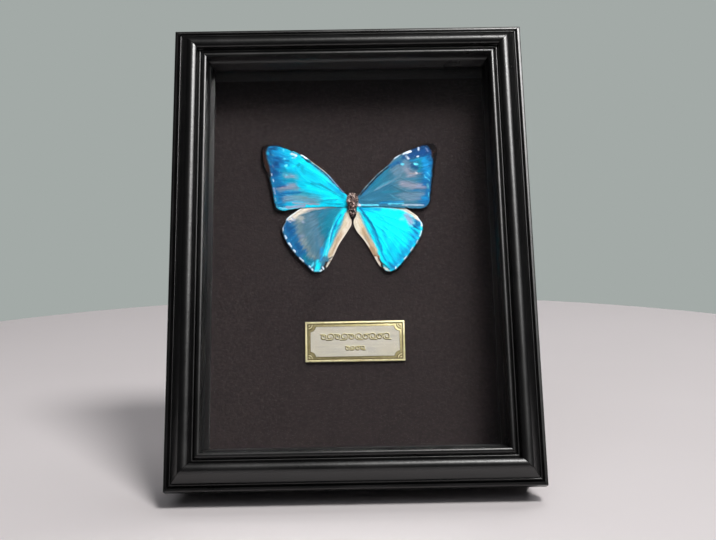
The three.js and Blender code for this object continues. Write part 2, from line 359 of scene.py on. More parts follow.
class Finish:
    """A material whose nodes are laid from the surface's own places to its shader."""

    def __init__(self, name, **values):
        self.material = bpy.data.materials.new(name)
        self.material.use_nodes = True
        self.tree = self.material.node_tree
        self.shader = self.tree.nodes["Principled BSDF"]
        for key, value in values.items():
            self.shader.inputs[key.replace("_", " ")].default_value = value
        self.places = self.node("ShaderNodeTexCoord").outputs["Object"]

    def node(self, kind, **settings):
        made = self.tree.nodes.new(kind)
        for key, value in settings.items():
            setattr(made, key, value)
        return made

    def link(self, source, socket):
        """Links a socket, or sets a plain value."""
        if isinstance(source, bpy.types.NodeSocket):
            self.tree.links.new(source, socket)
        else:
            socket.default_value = source

    def stretched(self, vector, scale):
        mapping = self.node("ShaderNodeMapping")
        self.link(vector, mapping.inputs["Vector"])
        self.link(scale, mapping.inputs["Scale"])
        return mapping.outputs["Vector"]

    def noise(self, scale, detail, roughness=0.55, vector=None):
        made = self.node("ShaderNodeTexNoise")
        self.link(vector or self.places, made.inputs["Vector"])
        self.link(scale, made.inputs["Scale"])
        self.link(detail, made.inputs["Detail"])
        self.link(roughness, made.inputs["Roughness"])
        return made.outputs["Fac"]

    def cells(self, scale):
        made = self.node("ShaderNodeTexVoronoi")
        self.link(self.places, made.inputs["Vector"])
        self.link(scale, made.inputs["Scale"])
        return made.outputs["Distance"]

    def band(self, value, low=NOISE_LOW, high=NOISE_HIGH, to=(0, 1)):
        """Stretches the values between two limits over another range, and holds the rest."""
        made = self.node("ShaderNodeMapRange")
        self.link(value, made.inputs["Value"])
        for key, number in zip(("From Min", "From Max", "To Min", "To Max"), (low, high, *to)):
            self.link(number, made.inputs[key])
        return made.outputs["Result"]

    def maths(self, operation, first, second):
        made = self.node("ShaderNodeMath", operation=operation)
        self.link(first, made.inputs[0])
        self.link(second, made.inputs[1])
        return made.outputs["Value"]

    def plus(self, first, second):
        return self.maths("ADD", first, second)

    def times(self, first, second):
        return self.maths("MULTIPLY", first, second)

    def mix(self, factor, first, second, blend="MIX"):
        made = self.node("ShaderNodeMix", data_type="RGBA", blend_type=blend)
        self.link(factor, made.inputs["Factor"])
        self.link(first, made.inputs[MIX_FIRST])
        self.link(second, made.inputs[MIX_SECOND])
        return made.outputs[MIX_RESULT]

    def grade(self, value, first, second, low=NOISE_LOW, high=NOISE_HIGH):
        """Goes from one colour to another as the value goes from low to high."""
        return self.mix(self.band(value, low, high), first, second)

    def attribute(self, name):
        return self.node("ShaderNodeAttribute", attribute_name=name).outputs["Color"]

    def paint(self, value):
        self.link(value, self.shader.inputs["Base Color"])

    def gloss(self, value):
        self.link(value, self.shader.inputs["Roughness"])

    def bump(self, height, distance, strength):
        """Adds a relief of a height in millimetres to those before it."""
        made = self.node("ShaderNodeBump")
        self.link(distance * MM, made.inputs["Distance"])
        self.link(strength, made.inputs["Strength"])
        self.link(height, made.inputs["Height"])
        before = self.shader.inputs["Normal"]
        if before.is_linked:
            self.link(before.links[0].from_socket, made.inputs["Normal"])
        self.link(made.outputs["Normal"], before)


def black_lacquer():
    finish = Finish("black_lacquer", IOR=1.5, Specular_IOR_Level=0.6)
    cloud = finish.noise(60, 4)
    dust = finish.band(finish.noise(2600, 2), 0.66, 0.74)
    black = finish.grade(cloud, colour(8, 8, 9), colour(14, 13, 14))
    finish.paint(finish.mix(finish.times(dust, 0.25), black, colour(70, 68, 66)))
    finish.gloss(finish.plus(finish.band(cloud, to=(0.27, 0.34)), finish.times(dust, 0.2)))
    finish.bump(finish.noise(900, 3), 0.06, 0.7)
    finish.bump(finish.noise(240, 2), 0.05, 0.3)
    return finish.material


def clear_pane():
    """Glass that lets the lamps' light straight in to what is behind it."""
    finish = Finish(
        "clear_pane",
        Base_Color=(0.98, 0.99, 0.985, 1),
        Roughness=0.03,
        IOR=1.45,
        Transmission_Weight=1,
    )
    passing = finish.node("ShaderNodeBsdfTransparent")
    passing.inputs["Color"].default_value = (0.885, 0.895, 0.89, 1)
    light = finish.node("ShaderNodeLightPath")
    mixed = finish.node("ShaderNodeMixShader")
    finish.link(light.outputs["Is Shadow Ray"], mixed.inputs[0])
    finish.link(finish.shader.outputs[0], mixed.inputs[1])
    finish.link(passing.outputs[0], mixed.inputs[2])
    finish.link(mixed.outputs[0], finish.tree.nodes["Material Output"].inputs["Surface"])
    return finish.material


def charcoal_felt():
    finish = Finish("charcoal_felt", Roughness=0.95, IOR=1.4, Specular_IOR_Level=0.1)
    grain = finish.noise(2200, 3, 0.7)
    tuft = finish.noise(900, 3, 0.6)
    dark = finish.grade(finish.noise(35, 3), colour(33, 27, 28), colour(38, 32, 32))
    fibre = finish.grade(grain, dark, colour(53, 45, 46), 0.35, 0.7)
    # Painted shade: the tufts' hollows, the low parts of the bump, are darkened toward a near-black brown
    # as if shadowed between the fibres
    painted_tuft_shade = finish.band(tuft, 0.4, 0.62, to=(0.6, 0))
    finish.paint(finish.mix(painted_tuft_shade, fibre, colour(22, 19, 20)))
    finish.bump(grain, 0.12, 0.6)
    finish.bump(tuft, 0.25, 0.5)
    return finish.material


def black_card():
    finish = Finish("black_card", Roughness=0.9)
    fibre = finish.noise(700, 4, 0.7)
    finish.paint(finish.grade(fibre, colour(22, 20, 22), colour(38, 35, 37), 0.35, 0.65))
    finish.bump(fibre, 0.08, 0.5)
    return finish.material


def brown_board():
    finish = Finish("brown_board")
    chip = finish.noise(420, 5, 0.7, finish.stretched(finish.places, (1, 1, 0.35)))
    cloud = finish.noise(30, 3)
    speck = finish.band(finish.cells(900), 0, 0.12, to=(1, 0))
    base = finish.grade(cloud, colour(112, 80, 54), colour(132, 97, 67))
    woody = finish.grade(chip, base, colour(82, 57, 38), 0.35, 0.68)
    finish.paint(finish.mix(finish.times(speck, 0.5), woody, colour(150, 118, 84)))
    finish.gloss(finish.band(chip, to=(0.55, 0.85)))
    finish.bump(chip, 0.12, 0.6)
    return finish.material


def plated_steel():
    finish = Finish("plated_steel", Metallic=1)
    brushed = finish.noise(500, 3, 0.6, finish.stretched(finish.places, (0.15, 1, 1)))
    cloud = finish.noise(120, 3)
    finish.paint(finish.grade(cloud, colour(176, 178, 180), colour(138, 138, 134), 0.35, 0.7))
    finish.gloss(finish.band(brushed, to=(0.28, 0.5)))
    finish.bump(brushed, 0.02, 0.5)
    return finish.material


def gilding(name, light, dark, tarnished):
    """Worn gilt, from its brightest tint to its tarnish."""
    finish = Finish(name, Metallic=0.55)
    cloud = finish.noise(250, 4)
    tarnish = finish.band(finish.noise(420, 4, 0.7), 0.48, 0.7)
    base = finish.grade(cloud, light, dark)
    finish.paint(finish.mix(finish.times(tarnish, 0.6), base, tarnished))
    finish.gloss(finish.band(cloud, to=(0.36, 0.5)))
    finish.bump(finish.noise(1400, 2), 0.02, 0.5)
    return finish.material


def silvered_field():
    finish = Finish("silvered_field", Metallic=0.3)
    brushed = finish.noise(900, 3, 0.6, finish.stretched(finish.places, (0.1, 1, 1)))
    cloud = finish.noise(120, 3)
    base = finish.grade(cloud, colour(146, 139, 126), colour(134, 130, 124))
    streaks = finish.band(brushed, 0.35, 0.65, to=(0, 0.5))
    finish.paint(finish.mix(streaks, base, colour(159, 152, 140)))
    finish.gloss(finish.band(brushed, to=(0.4, 0.55)))
    finish.bump(brushed, 0.02, 0.4)
    return finish.material


def wing_scales():
    """Powdery scales over the painted colours, in rows that follow the veins."""
    finish = Finish("wing_scales", Metallic=0.25, IOR=1.5, Specular_IOR_Level=0.04)
    along = finish.node("ShaderNodeUVMap", uv_map="UVMap").outputs["UV"]
    streak = finish.noise(1, 4, 0.62, finish.stretched(along, (3, 62, 1)))
    fine = finish.noise(1, 3, 0.6, finish.stretched(along, (12, 230, 1)))
    rows = finish.noise(1, 2, 0.5, finish.stretched(along, (170, 60, 1)))
    powder = finish.noise(4200, 2)
    shade = finish.band(streak, to=(0.52, 0.96))
    for grain, range_of_shade in ((fine, (0.74, 1.26)), (rows, (0.93, 1.07)), (powder, (0.93, 1.07))):
        shade = finish.times(shade, finish.band(grain, to=range_of_shade))
    level = finish.node("ShaderNodeCombineColor")
    for channel in range(3):
        finish.link(shade, level.inputs[channel])
    finish.paint(finish.mix(1, finish.attribute("painted"), level.outputs["Color"], "MULTIPLY"))
    finish.gloss(finish.band(streak, to=(0.45, 0.6)))
    finish.bump(fine, 0.05, 0.4)
    finish.bump(rows, 0.03, 0.3)
    return finish.material


def insect_fur():
    finish = Finish("insect_fur", Roughness=0.75, Specular_IOR_Level=0.35)
    tone = finish.attribute("painted")
    patch = finish.noise(2400, 2)
    finish.paint(finish.mix(finish.band(patch, 0.45, 0.65, to=(0, 0.4)), tone, colour(48, 30, 26)))
    finish.bump(patch, 0.05, 0.4)
    return finish.material


def pale_tabletop():
    finish = Finish("pale_tabletop", Roughness=0.5)
    finish.paint(finish.grade(finish.noise(3, 3), colour(229, 223, 225), colour(234, 228, 230)))
    finish.bump(finish.noise(400, 2), 0.05, 0.1)
    return finish.material


def cover(piece, *materials):
    piece.data.materials.clear()
    for material in materials:
        piece.data.materials.append(material)


def paint_points(piece, tints):
    """Gives each vertex its own tint."""
    painted = piece.data.attributes.new("painted", "FLOAT_COLOR", "POINT")
    painted.data.foreach_set("color", np.array(tints, np.float32).ravel())


def dress(piece, body, slot, *replaced):
    """Says what a finished piece rides on and the solids it stands for; the slot is not used."""
    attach(piece, body)
    if replaced:
        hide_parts(*replaced)


# ---------------------------------------------------------------- moulding

def moulding_blank():
    """A long stick of the moulding along x, its outer edge on z = 0, its ends still square."""
    pen = Pen("moulding_blank", (0, -LIP_DEPTH), across=(0, 0, 1), up=(0, -1, 0))

    # The rounded outer fillet, its step and a fine bead
    pen.arc((0.5, -0.65), 0.5, 180, 106, 6)
    pen.arc((1.3, -3.4), 3.4, 106, 90, 4)
    pen.line((1.85, -1), (2.4, 0))
    pen.arc((2.75, 0.05), 0.35, 180, 0, 8)

    # The slope up to the crown, and the crown with its steep inner side
    pen.line((3.95, 1.1), (4.8, 2.35), (5.6, 3.75))
    pen.arc((7.81, 4.517), 1.6, 150, 118, 8)
    pen.arc((8.75, 2.75), 3.6, 117, 66, 20)
    pen.arc((9.85, 4.55), 1.5, 60, -20, 14)

    # A fine bead, the groove after it and the inner bead
    pen.arc((12.4, 2.9), 0.5, 180, 0, 10)
    pen.line((13, 2.2), (13.6, 2.5), (13.62, 4))
    pen.arc((14.7, 3), 1.65, 128, 52, 16)

    # The fall to the sight edge
    pen.line((15.8, 4), (15.95, 2.6), (16.25, 1.2), (16.7, 0.3), (17.3, -0.1), (17.6, -0.9))
    pen.line((SIGHT_INSET - SIGHT_ROUNDING[0], -SIGHT_DEPTH + SIGHT_ROUNDING[1]))
    pen.line((SIGHT_INSET, -SIGHT_DEPTH))

    # The rabbet and the body behind it
    pen.line((SIGHT_INSET, -RABBET_DEPTH), (RABBET_INSET, -RABBET_DEPTH))
    pen.line((RABBET_INSET, -FRAME_DEPTH), (BODY_INSET, -FRAME_DEPTH))
    pen.line((BODY_INSET, -LIP_DEPTH), (0, -LIP_DEPTH))

    blank = pen.fill()
    length = FRAME_HEIGHT * MM
    extrude(length, 0, 0)
    bpy.ops.mesh.select_all(action="SELECT")
    bpy.ops.transform.translate(value=(-length / 2, 0, 0))
    leave()
    face_outwards(blank)
    return blank


def cut_mitres(stick, length):
    """Saws both ends to the mitre, so that the outer edge keeps its length."""
    for side in (-1, 1):
        edit(stick, "SELECT")
        bpy.ops.mesh.bisect(
            plane_co=(side * (length / 2 - MITRE_GAP) * MM, 0, 0),
            plane_no=(side, 0, 1),
            use_fill=True,
            clear_outer=True,
        )
        leave()
    face_outwards(stick)


def make_moulding():
    blank = moulding_blank()
    half = FRAME_WIDTH / 2
    middle = FRAME_HEIGHT / 2
    lacquer = black_lacquer()
    sticks = [
        ("bottom", FRAME_WIDTH, 0, 0, 0),
        ("top", FRAME_WIDTH, 0, FRAME_HEIGHT, math.pi),
        ("left", FRAME_HEIGHT, -half, middle, math.pi / 2),
        ("right", FRAME_HEIGHT, half, middle, -math.pi / 2),
    ]
    for name, length, x, z, turn in sticks:
        stick = copy_of(blank, f"{name}_moulding")
        cut_mitres(stick, length)
        stick.rotation_euler = (0, turn, 0)
        stick.location = (x * MM, 0, z * MM)
        fix_place(stick)
        lean_back(stick)
        smooth(stick, angle=30)
        cover(stick, lacquer)
        dress(stick, "frame", "black_moulding", f"moulding_{name}")
    remove(blank)


# ---------------------------------------------------------------- boards behind the glass

def finish_solids():
    """The solids whose plain shapes are right get their materials."""
    cover(nodes["glass"], clear_pane())
    cover(nodes["backing_board"], charcoal_felt())
    card = black_card()
    for side in ("top", "bottom", "left", "right"):
        cover(nodes[f"spacer_{side}"], card)
    steel = plated_steel()
    for name in ("hinge_plate", "hinge_pin", "strut_leaf"):
        cover(nodes[name], steel)
    for number in range(1, RETAINING_POINTS + 1):
        cover(nodes[f"retaining_point_{number}"], steel)
    cover(nodes["back_panel"], brown_board())


# ---------------------------------------------------------------- label plate

def stepped_plate(half_width, front, half_height, *finishes):
    """The bright rim, a dark groove inside it and the duller floor that the rest lies on."""
    low = (-half_width, front, -half_height)
    high = (half_width, -front, half_height)
    plate = box("gilt_label_plate", low, high)
    cover(plate, *finishes)
    edit(plate)
    select_front(plate)
    steps = ((PLATE_RIM, GROOVE_DEPTH), (GROOVE_WIDTH, -GROOVE_RISE))
    for slot, (width, drop) in enumerate(steps, 1):
        bpy.ops.mesh.inset(thickness=width * MM)
        plate.active_material_index = slot
        extrude(0, drop * MM, 0)
        bpy.ops.object.material_slot_assign()
    leave()
    bevel(plate, PLATE_ROUNDING)
    smooth(plate)
    return plate


def notched_rectangle(half_width, half_height, depth):
    """The field's outline, with corners bitten out by quarter rounds, drawn at a depth."""
    half_width -= FIELD_MARGIN
    half_height -= FIELD_MARGIN
    pen = Pen("field", (-half_width + FIELD_NOTCH, -half_height), origin=(0, depth, 0))
    for x, z, start in ((1, -1, 180), (1, 1, 270), (-1, 1, 360), (-1, -1, 450)):
        pen.arc((x * half_width, z * half_height), FIELD_NOTCH, start, start - 90, 10)
    return pen


def corner_fans(half_width, half_height, depth, tints):
    """Rings of wire around each corner of the field, in two tints by turns."""
    trims = []
    for x, z, start in ((-1, -1, 0), (-1, 1, 270), (1, -1, 90), (1, 1, 180)):
        corner = (x * (half_width - FAN_INSET), z * (half_height - FAN_INSET))
        for number, radius in enumerate(FAN_RADII):
            pen = Pen("fan", on_circle(corner, radius, start), origin=(0, depth, 0))
            pen.arc(corner, radius, start, start + 90, 8)
            trims.append((thread(pen, FAN_WIRE, TRIM_FLATNESS), tints[number % 2]))
    return trims


def scroll(x, z, size, side, upright, depth, bright, dark):
    """A loop that winds in from its foot, in bright wire over a darker, wider shade."""
    def turned(angle):
        return (angle if side > 0 else 180 - angle) * upright

    trims = []
    for tint, (radius, shift) in ((dark, SHADE_WIRE), (bright, BRIGHT_WIRE)):
        middle = (x + shift, z + shift)
        foot = (x - side * size * SCROLL_FOOT + shift, z - upright * size + shift)
        inner = (x - side * size * INNER_SHIFT + shift, z + shift)
        pen = Pen("scroll", foot, origin=(0, depth - shift / 2, 0))
        pen.arc(middle, size, turned(-100), turned(160), 10)
        pen.arc(inner, size * INNER_SIZE, turned(160), turned(370), 8)
        trims.append((thread(pen, radius, SCROLL_FLATNESS), tint))
    return trims


def flourish(depth, bright, dark):
    """Two rows of linked scrolls, which turn about the middle and stand on their heads by turns."""
    trims = []
    for count, pitch, height, sizes in (UPPER_ROW, LOWER_ROW):
        for number in range(count):
            across = (number - (count - 1) / 2) * pitch
            side = 1 if across < 0 else -1
            upright = 1 if number % 2 else -1
            size = sizes[number % 2]
            trims += scroll(across, height, size, side, upright, depth, bright, dark)
    return trims


def make_plate():
    width, thickness, height = PLATE_SIZE
    halves = (width / 2, height / 2)
    front = -thickness / 2
    bright = gilding("bright_gilt", colour(187, 179, 144), colour(166, 156, 114), colour(112, 102, 65))
    dark = gilding("dark_gilt", colour(82, 68, 38), colour(66, 54, 32), colour(150, 138, 96))
    dull = gilding("dull_gilt", colour(132, 122, 86), colour(116, 106, 71), colour(84, 75, 47))
    plate = stepped_plate(width / 2, front, height / 2, bright, dark, dull)
    floor = front + GROOVE_DEPTH - GROOVE_RISE

    field = notched_rectangle(*halves, floor).fill()
    extrude(0, -FIELD_RISE * MM, 0)
    leave()
    face_outwards(field)
    cover(field, silvered_field())

    line = thread(notched_rectangle(*halves, floor - LINE_RISE), LINE_WIRE, TRIM_FLATNESS, 3)
    trims = [(line, dark)]
    trims += corner_fans(*halves, floor - FAN_RISE, (bright, dark))
    trims += flourish(floor - FIELD_RISE, bright, dark)
    for trim, tint in trims:
        cover(trim, tint)
        smooth(trim, angle=60)
    join_into(plate, [field] + [trim for trim, tint in trims])
    plate.location = [value * MM for value in PLATE_CENTRE]
    fix_place(plate)
    lean_back(plate)
    dress(plate, "frame", "gilt_plate", "label_plate")


# ---------------------------------------------------------------- wings

# Outlines as [distance from the axis, height], from the root along the leading edge to the
# apex, down the outer margin to the hind corner, and back along the inner edge
FOREWING_LEFT = {
    "front": [
        (2.2, 29.4), (3.4, 30.7), (6.3, 34.2), (12.1, 41.3), (18, 46.3), (24.2, 51.1),
        (28.9, 53.3), (33.2, 55), (36.3, 55.9), (39.6, 56),
    ],
    "margin": [
        (39.6, 56), (41.9, 55.1), (42.6, 52.7), (42.5, 49.1), (41.7, 45), (39.8, 40.5),
        (38.6, 36), (37.6, 30.9), (36.9, 25.9), (35.3, 23.3), (33.2, 22.5),
    ],
    "back": [(33.2, 22.5), (28.5, 23.2), (23.1, 23.9), (12.3, 24.3), (1.8, 24.9)],
}
FOREWING_RIGHT = {
    "front": [
        (2, 28.8), (3.4, 30.3), (6, 33.7), (12.1, 40.3), (17.2, 44.7), (20.1, 48.2), (23.3, 50.2),
        (28.3, 52.6), (33.1, 54.4), (36.8, 55.6), (38.9, 55.3),
    ],
    "margin": [
        (38.9, 55.3), (40.5, 53.4), (40.6, 50.3), (39.7, 45.2), (38.8, 40.2), (37.7, 34.4),
        (37, 29.2), (36.1, 25), (33.8, 22.8),
    ],
    "back": [(33.8, 22.8), (29.7, 22.5), (23.7, 23), (11.7, 23.9), (1.8, 24.9)],
}
HINDWING_LEFT = {
    "front": [(1.8, 25.2), (12.3, 26.5), (21.5, 25.4), (28, 21.3), (30.6, 19.2), (32.1, 17.2)],
    "margin": [
        (32.1, 17.2), (33.3, 14.1), (32.8, 10.6), (30.4, 5.6), (26.8, 0.7), (22.6, -3.7),
        (19.2, -7.2), (16.2, -7.8), (14.2, -7.3), (12.7, -5.6),
    ],
    "back": [
        (12.7, -5.6), (9.6, -0.5), (6.7, 5.7), (2.9, 11.6), (0.8, 15.4), (0.7, 17.8),
        (1.4, 19.3), (1.8, 21.3),
    ],
}
HINDWING_RIGHT = {
    "front": [(1.8, 25.1), (11.8, 26.3), (21.5, 25), (27.3, 21.4), (30.8, 18.4)],
    "margin": [
        (30.8, 18.4), (32.7, 15.4), (32.7, 12.3), (31, 7.7), (27.8, 2.8), (24.2, -2),
        (20.2, -6.4), (17.5, -7.9), (15.9, -7.9), (14.2, -7.3), (12.4, -5.5),
    ],
    "back": [
        (12.4, -5.5), (9.6, -0.6), (5.5, 7), (1.8, 12), (0.4, 15.4), (0.5, 17.8), (1.4, 19.3),
        (1.8, 21.3),
    ],
}

# Veins, from the root or the cell outwards
FOREWING_VEINS = [
    [(3.4, 29.6), (12.6, 40.2), (19, 45.6), (26, 49.6), (33, 53.2), (38.6, 54.8)],
    [(3.4, 29.2), (13.4, 38.6), (21, 43.6), (26.8, 46.2), (34, 49.6), (41.4, 50.6)],
    [(26.8, 46.2), (34, 47.2), (41.6, 46.8)],
    [(26.8, 46.2), (27, 44.4), (26.2, 42.6)],
    [(27, 44.4), (33.4, 43.4), (40.4, 42.4)],
    [(3.4, 28.4), (11.4, 32.3), (17.5, 35.2), (22.5, 38.3), (26.2, 42.6)],
    [(26.2, 42.6), (33, 39.8), (38.9, 38)],
    [(22.5, 38.3), (31, 34.6), (37.9, 33.2)],
    [(17.5, 35.2), (27, 30.6), (37.1, 28.6)],
    [(3.4, 27.2), (14, 26.8), (26, 25.6), (35.6, 24.8)],
]
HINDWING_VEINS = [
    [(3.2, 24.2), (12, 24), (22, 21.4), (30.8, 16.8)],
    [(3.2, 23.6), (12, 20.6), (22, 17), (32, 12.6)],
    [(12, 20.6), (15.4, 16.6), (14.2, 12)],
    [(15.4, 16.6), (23, 12.4), (30.8, 7.2)],
    [(14.8, 14), (21.6, 8.4), (28, 2.4)],
    [(2.8, 22.8), (8.4, 17), (14.2, 12), (19.4, 4.6), (24, -2)],
    [(8.4, 17), (13.6, 7.4), (20.6, -5.4)],
    [(2.6, 22.2), (7.4, 14.4), (12.2, 4.2), (17, -7)],
]

BLACK = colour(14, 10, 14)
BROWN_BLACK = colour(40, 22, 16)
CREAM = colour(206, 194, 180)
WHITE = colour(214, 224, 236)
PALE_CYAN = colour(96, 205, 232)
BEIGE = colour(188, 170, 146)
TAN = colour(158, 130, 104)
BLUSH = colour(176, 148, 130)
RUST = colour(86, 40, 28)
CYAN = colour(0, 178, 208)
BRIGHT_CYAN = colour(0, 212, 236)
AQUA = colour(0, 192, 224)
SKY = colour(16, 126, 182)
AZURE = colour(14, 90, 142)
ROYAL = colour(14, 58, 112)
NAVY = colour(12, 34, 74)
TEAL = colour(8, 118, 142)
DEEP_TEAL = colour(6, 74, 98)
STEEL_BLUE = colour(42, 100, 128)
SLATE_BLUE = colour(72, 108, 126)
GREY_BLUE = colour(92, 120, 142)
LILAC = colour(132, 142, 172)
PINK_GREY = colour(138, 134, 152)
STONE = colour(108, 122, 124)
CYAN_GREY = colour(70, 144, 168)

# Brush strokes as (colour, half width, softness, strength, points), laid one after another
FOREWING_LEFT_STROKES = [
    # The blues of the outer half
    (SKY, 5.0, 9.1, 0.9, [(38, 56), (37, 50.9), (34, 44.9), (33, 36.8), (32, 30.8)]),
    (AZURE, 2.8, 4.5, 0.9, [(36.6, 48.5), (37, 42.9), (36.2, 36.9), (35, 30.9), (34.4, 25.9)]),
    (ROYAL, 1.5, 3.1, 0.8, [(35.2, 47.3), (37.4, 45.4), (37.2, 40.9)]),
    (TEAL, 1.8, 3.1, 0.7, [(32, 43.2), (31, 38.2), (28, 37.7)]),
    # Bright rays from the root, with darker ones between them
    (AQUA, 1.2, 2.3, 0.8, [(30, 44), (26, 46.7), (22, 47.2)]),
    (TEAL, 0.7, 1.8, 0.6, [(22.4, 45.2), (24, 42.6), (22.6, 41.2)]),
    (DEEP_TEAL, 0.5, 1.3, 0.6, [(24.6, 45.4), (26.4, 45.1)]),
    (BRIGHT_CYAN, 1.4, 2.9, 0.95, [(9, 34.6), (13.6, 39.3), (18, 43.1), (23.6, 48.2)]),
    (SKY, 0.8, 1.8, 0.7, [(5.6, 30.5), (8.4, 33.4), (11, 35.9)]),
    (CYAN_GREY, 0.7, 1.8, 0.7, [(8.8, 35.8), (12.6, 40.3), (18.4, 45.5)]),
    (TEAL, 0.55, 1.4, 0.85, [(4.6, 29.3), (9.6, 31.8), (14, 34.8), (19, 36.1)]),
    (DEEP_TEAL, 0.2, 0.6, 0.5, [(8, 31), (12.4, 33.9)]),
    (BRIGHT_CYAN, 1.1, 2.3, 0.95, [(7, 29), (11, 30.7), (16, 32.6), (21, 34.3)]),
    (BRIGHT_CYAN, 0.6, 1.2, 0.9, [(5, 26.5), (8.6, 26.8)]),
    (BRIGHT_CYAN, 0.4, 1.2, 0.8, [(8, 28.5), (15, 28.4)]),
    (TEAL, 0.35, 0.8, 0.8, [(7.4, 27.6), (12, 27.5), (16, 27)]),
    (TEAL, 0.3, 0.7, 0.7, [(6, 25.5), (12, 25.7)]),
    # Greyed patches towards the margin
    (CYAN_GREY, 2.2, 3.4, 0.75, [(17, 27.8), (22, 29.2), (26, 31.3)]),
    (TEAL, 0.6, 1.6, 0.6, [(20, 30.3), (26, 31.7), (31, 31.4)]),
    (AZURE, 0.7, 1.6, 0.9, [(25, 31.6), (31, 31.4), (36.4, 31.1)]),
    (GREY_BLUE, 1.1, 2.8, 0.9, [(17.6, 26.8), (23, 27.7), (29, 28.2), (33, 28.1)]),
    (STONE, 0.7, 1.8, 0.6, [(22, 29), (28, 29.5), (32, 29.4)]),
    (PINK_GREY, 0.35, 0.7, 0.8, [(16, 25.6), (22, 26), (28, 26.3)]),
    (GREY_BLUE, 1.2, 1.8, 0.9, [(26.4, 33.9), (30, 33.8), (34.4, 33.3)]),
    (PINK_GREY, 0.8, 2.2, 0.8, [(27.2, 35.2), (30, 34.8), (33.4, 34)]),
    (ROYAL, 0.5, 1.2, 0.7, [(32.4, 35.2), (35.4, 34.7)]),
    (CYAN_GREY, 1.2, 2.1, 0.8, [(26.6, 39.3), (29, 40.1), (32, 40.4)]),
    (PINK_GREY, 0.6, 1.3, 0.6, [(28, 39.9), (31.4, 39.6)]),
    (ROYAL, 0.4, 1.2, 0.7, [(33.4, 41.5), (37, 41.9)]),
    # Fine rays below the apex
    (AZURE, 0.35, 0.8, 0.8, [(30, 47.8), (34, 47.7), (38, 48)]),
    (SKY, 0.45, 0.8, 0.8, [(30, 49.6), (34, 50.3), (38, 50.6)]),
    (ROYAL, 0.25, 0.6, 0.7, [(33, 49.2), (37, 49.3)]),
    (CYAN_GREY, 0.35, 0.8, 0.8, [(37.4, 50.9), (38.6, 51)]),
    (ROYAL, 0.5, 1.3, 0.7, [(35.6, 54.3), (37.6, 54)]),
    # The inner edge
    (SKY, 0.5, 0.8, 0.9, [(33.6, 27.1), (35, 26.5)]),
    (WHITE, 0.3, 0.7, 0.6, [(24, 24.5), (28, 24), (33, 23.7)]),
    (LILAC, 0.7, 0.7, 0.95, [(22.8, 24.9), (26.9, 24.5), (31.1, 24.1)]),
    (PALE_CYAN, 0.3, 0.6, 0.9, [(31, 23.6), (34.4, 24)]),
    # The leading edge
    (PALE_CYAN, 0.2, 0.5, 0.9, [(24.4, 51.2), (27, 52.1), (30.4, 53.7)]),
    (DEEP_TEAL, 0.2, 0.5, 0.8, [(24, 50.6), (27, 51.5), (29, 52.5)]),
    (DEEP_TEAL, 0.45, 0.7, 0.9, [(19.4, 47.2), (21.6, 48), (24, 49.6)]),
    (NAVY, 0.32, 0.35, 0.95, [(4.2, 31), (9.2, 36.8), (14.2, 42.2), (19.8, 46.5), (23, 49)]),
    (BLUSH, 0.24, 0.25, 0.95, [(11.4, 40.5), (15, 43.9), (19.6, 47.6)]),
    (LILAC, 0.26, 0.25, 0.95, [(3.6, 31), (7.4, 35.6), (11.8, 41)]),
    (BLACK, 0.75, 0.5, 1.0, [(24, 51.5), (26.6, 52.7), (29, 53.6), (33, 55.3), (38, 56.4)]),
    # The dark apex and outer margin
    (ROYAL, 0.9, 1.8, 0.75, [(38.4, 54.6), (39.4, 51.6), (39.2, 48)]),
    (BROWN_BLACK, 1.5, 1.3, 1.0, [(41.7, 57), (42, 52), (41.8, 47.6)]),
    (BLACK, 1.1, 1.0, 1.0, [(41.6, 54), (39.6, 56.3), (34, 56.9)]),
    (NAVY, 0.8, 1.8, 0.6, [(38.6, 52), (37.4, 54.8), (34.6, 55.9)]),
    (BROWN_BLACK, 1.3, 1.3, 1.0, [(41.2, 48), (40.2, 44), (39.7, 40.6)]),
    (BLACK, 0.7, 0.9, 1.0, [(39.8, 41.4), (38.9, 37), (38, 32), (37.3, 27)]),
    (BLACK, 0.45, 0.6, 1.0, [(37.3, 28), (36.4, 24.6), (35.2, 23.1), (33.2, 22.3)]),
    (BLACK, 0.3, 0.4, 0.9, [(33.4, 22.3), (28.5, 22.9), (24, 23.7)]),
    # Pale spots
    (PALE_CYAN, 0.3, 0.5, 1.0, [(32.6, 52.8), (32.6, 53.7)]),
    (PALE_CYAN, 0.35, 0.6, 0.8, [(32.1, 48.9), (32.2, 49)]),
    (PALE_CYAN, 0.5, 0.6, 1.0, [(31.1, 45.3), (31.6, 45.2)]),
    (PALE_CYAN, 0.4, 0.6, 0.9, [(31, 40.4), (31.2, 40.4)]),
    (WHITE, 0.55, 0.6, 0.9, [(28.6, 51.4), (27.6, 50.8), (26.6, 50.4)]),
    (PALE_CYAN, 0.3, 0.5, 0.9, [(28.4, 50.6), (27.4, 50.3)]),
    (WHITE, 0.14, 0.3, 0.8, [(28.4, 49.3), (27, 49.1)]),
    (DEEP_TEAL, 0.14, 0.3, 0.8, [(28.7, 49.8), (27.2, 49.6)]),
    (BRIGHT_CYAN, 0.5, 0.8, 0.9, [(27.4, 45), (27.6, 44.7)]),
    (WHITE, 0.5, 0.35, 1.0, [(23.6, 50.8), (22.4, 50), (20.9, 48.8)]),
    (WHITE, 0.35, 0.3, 1.0, [(22.6, 49.4), (21.4, 48.9)]),
    (WHITE, 0.16, 0.3, 0.9, [(38.1, 41.4), (38.1, 40.2)]),
    (WHITE, 0.16, 0.3, 0.8, [(37.5, 38.4), (37.3, 37.2)]),
    (LILAC, 0.3, 0.4, 0.9, [(37.2, 34), (36.9, 32.4), (36.5, 31)]),
    (LILAC, 0.2, 0.4, 0.8, [(36.4, 29), (36.2, 27.4)]),
    (CYAN_GREY, 0.25, 0.4, 0.8, [(35.9, 25.8), (35.4, 24.6)]),
    (GREY_BLUE, 0.16, 0.3, 0.8, [(37.9, 46), (37.5, 44.6)]),
]
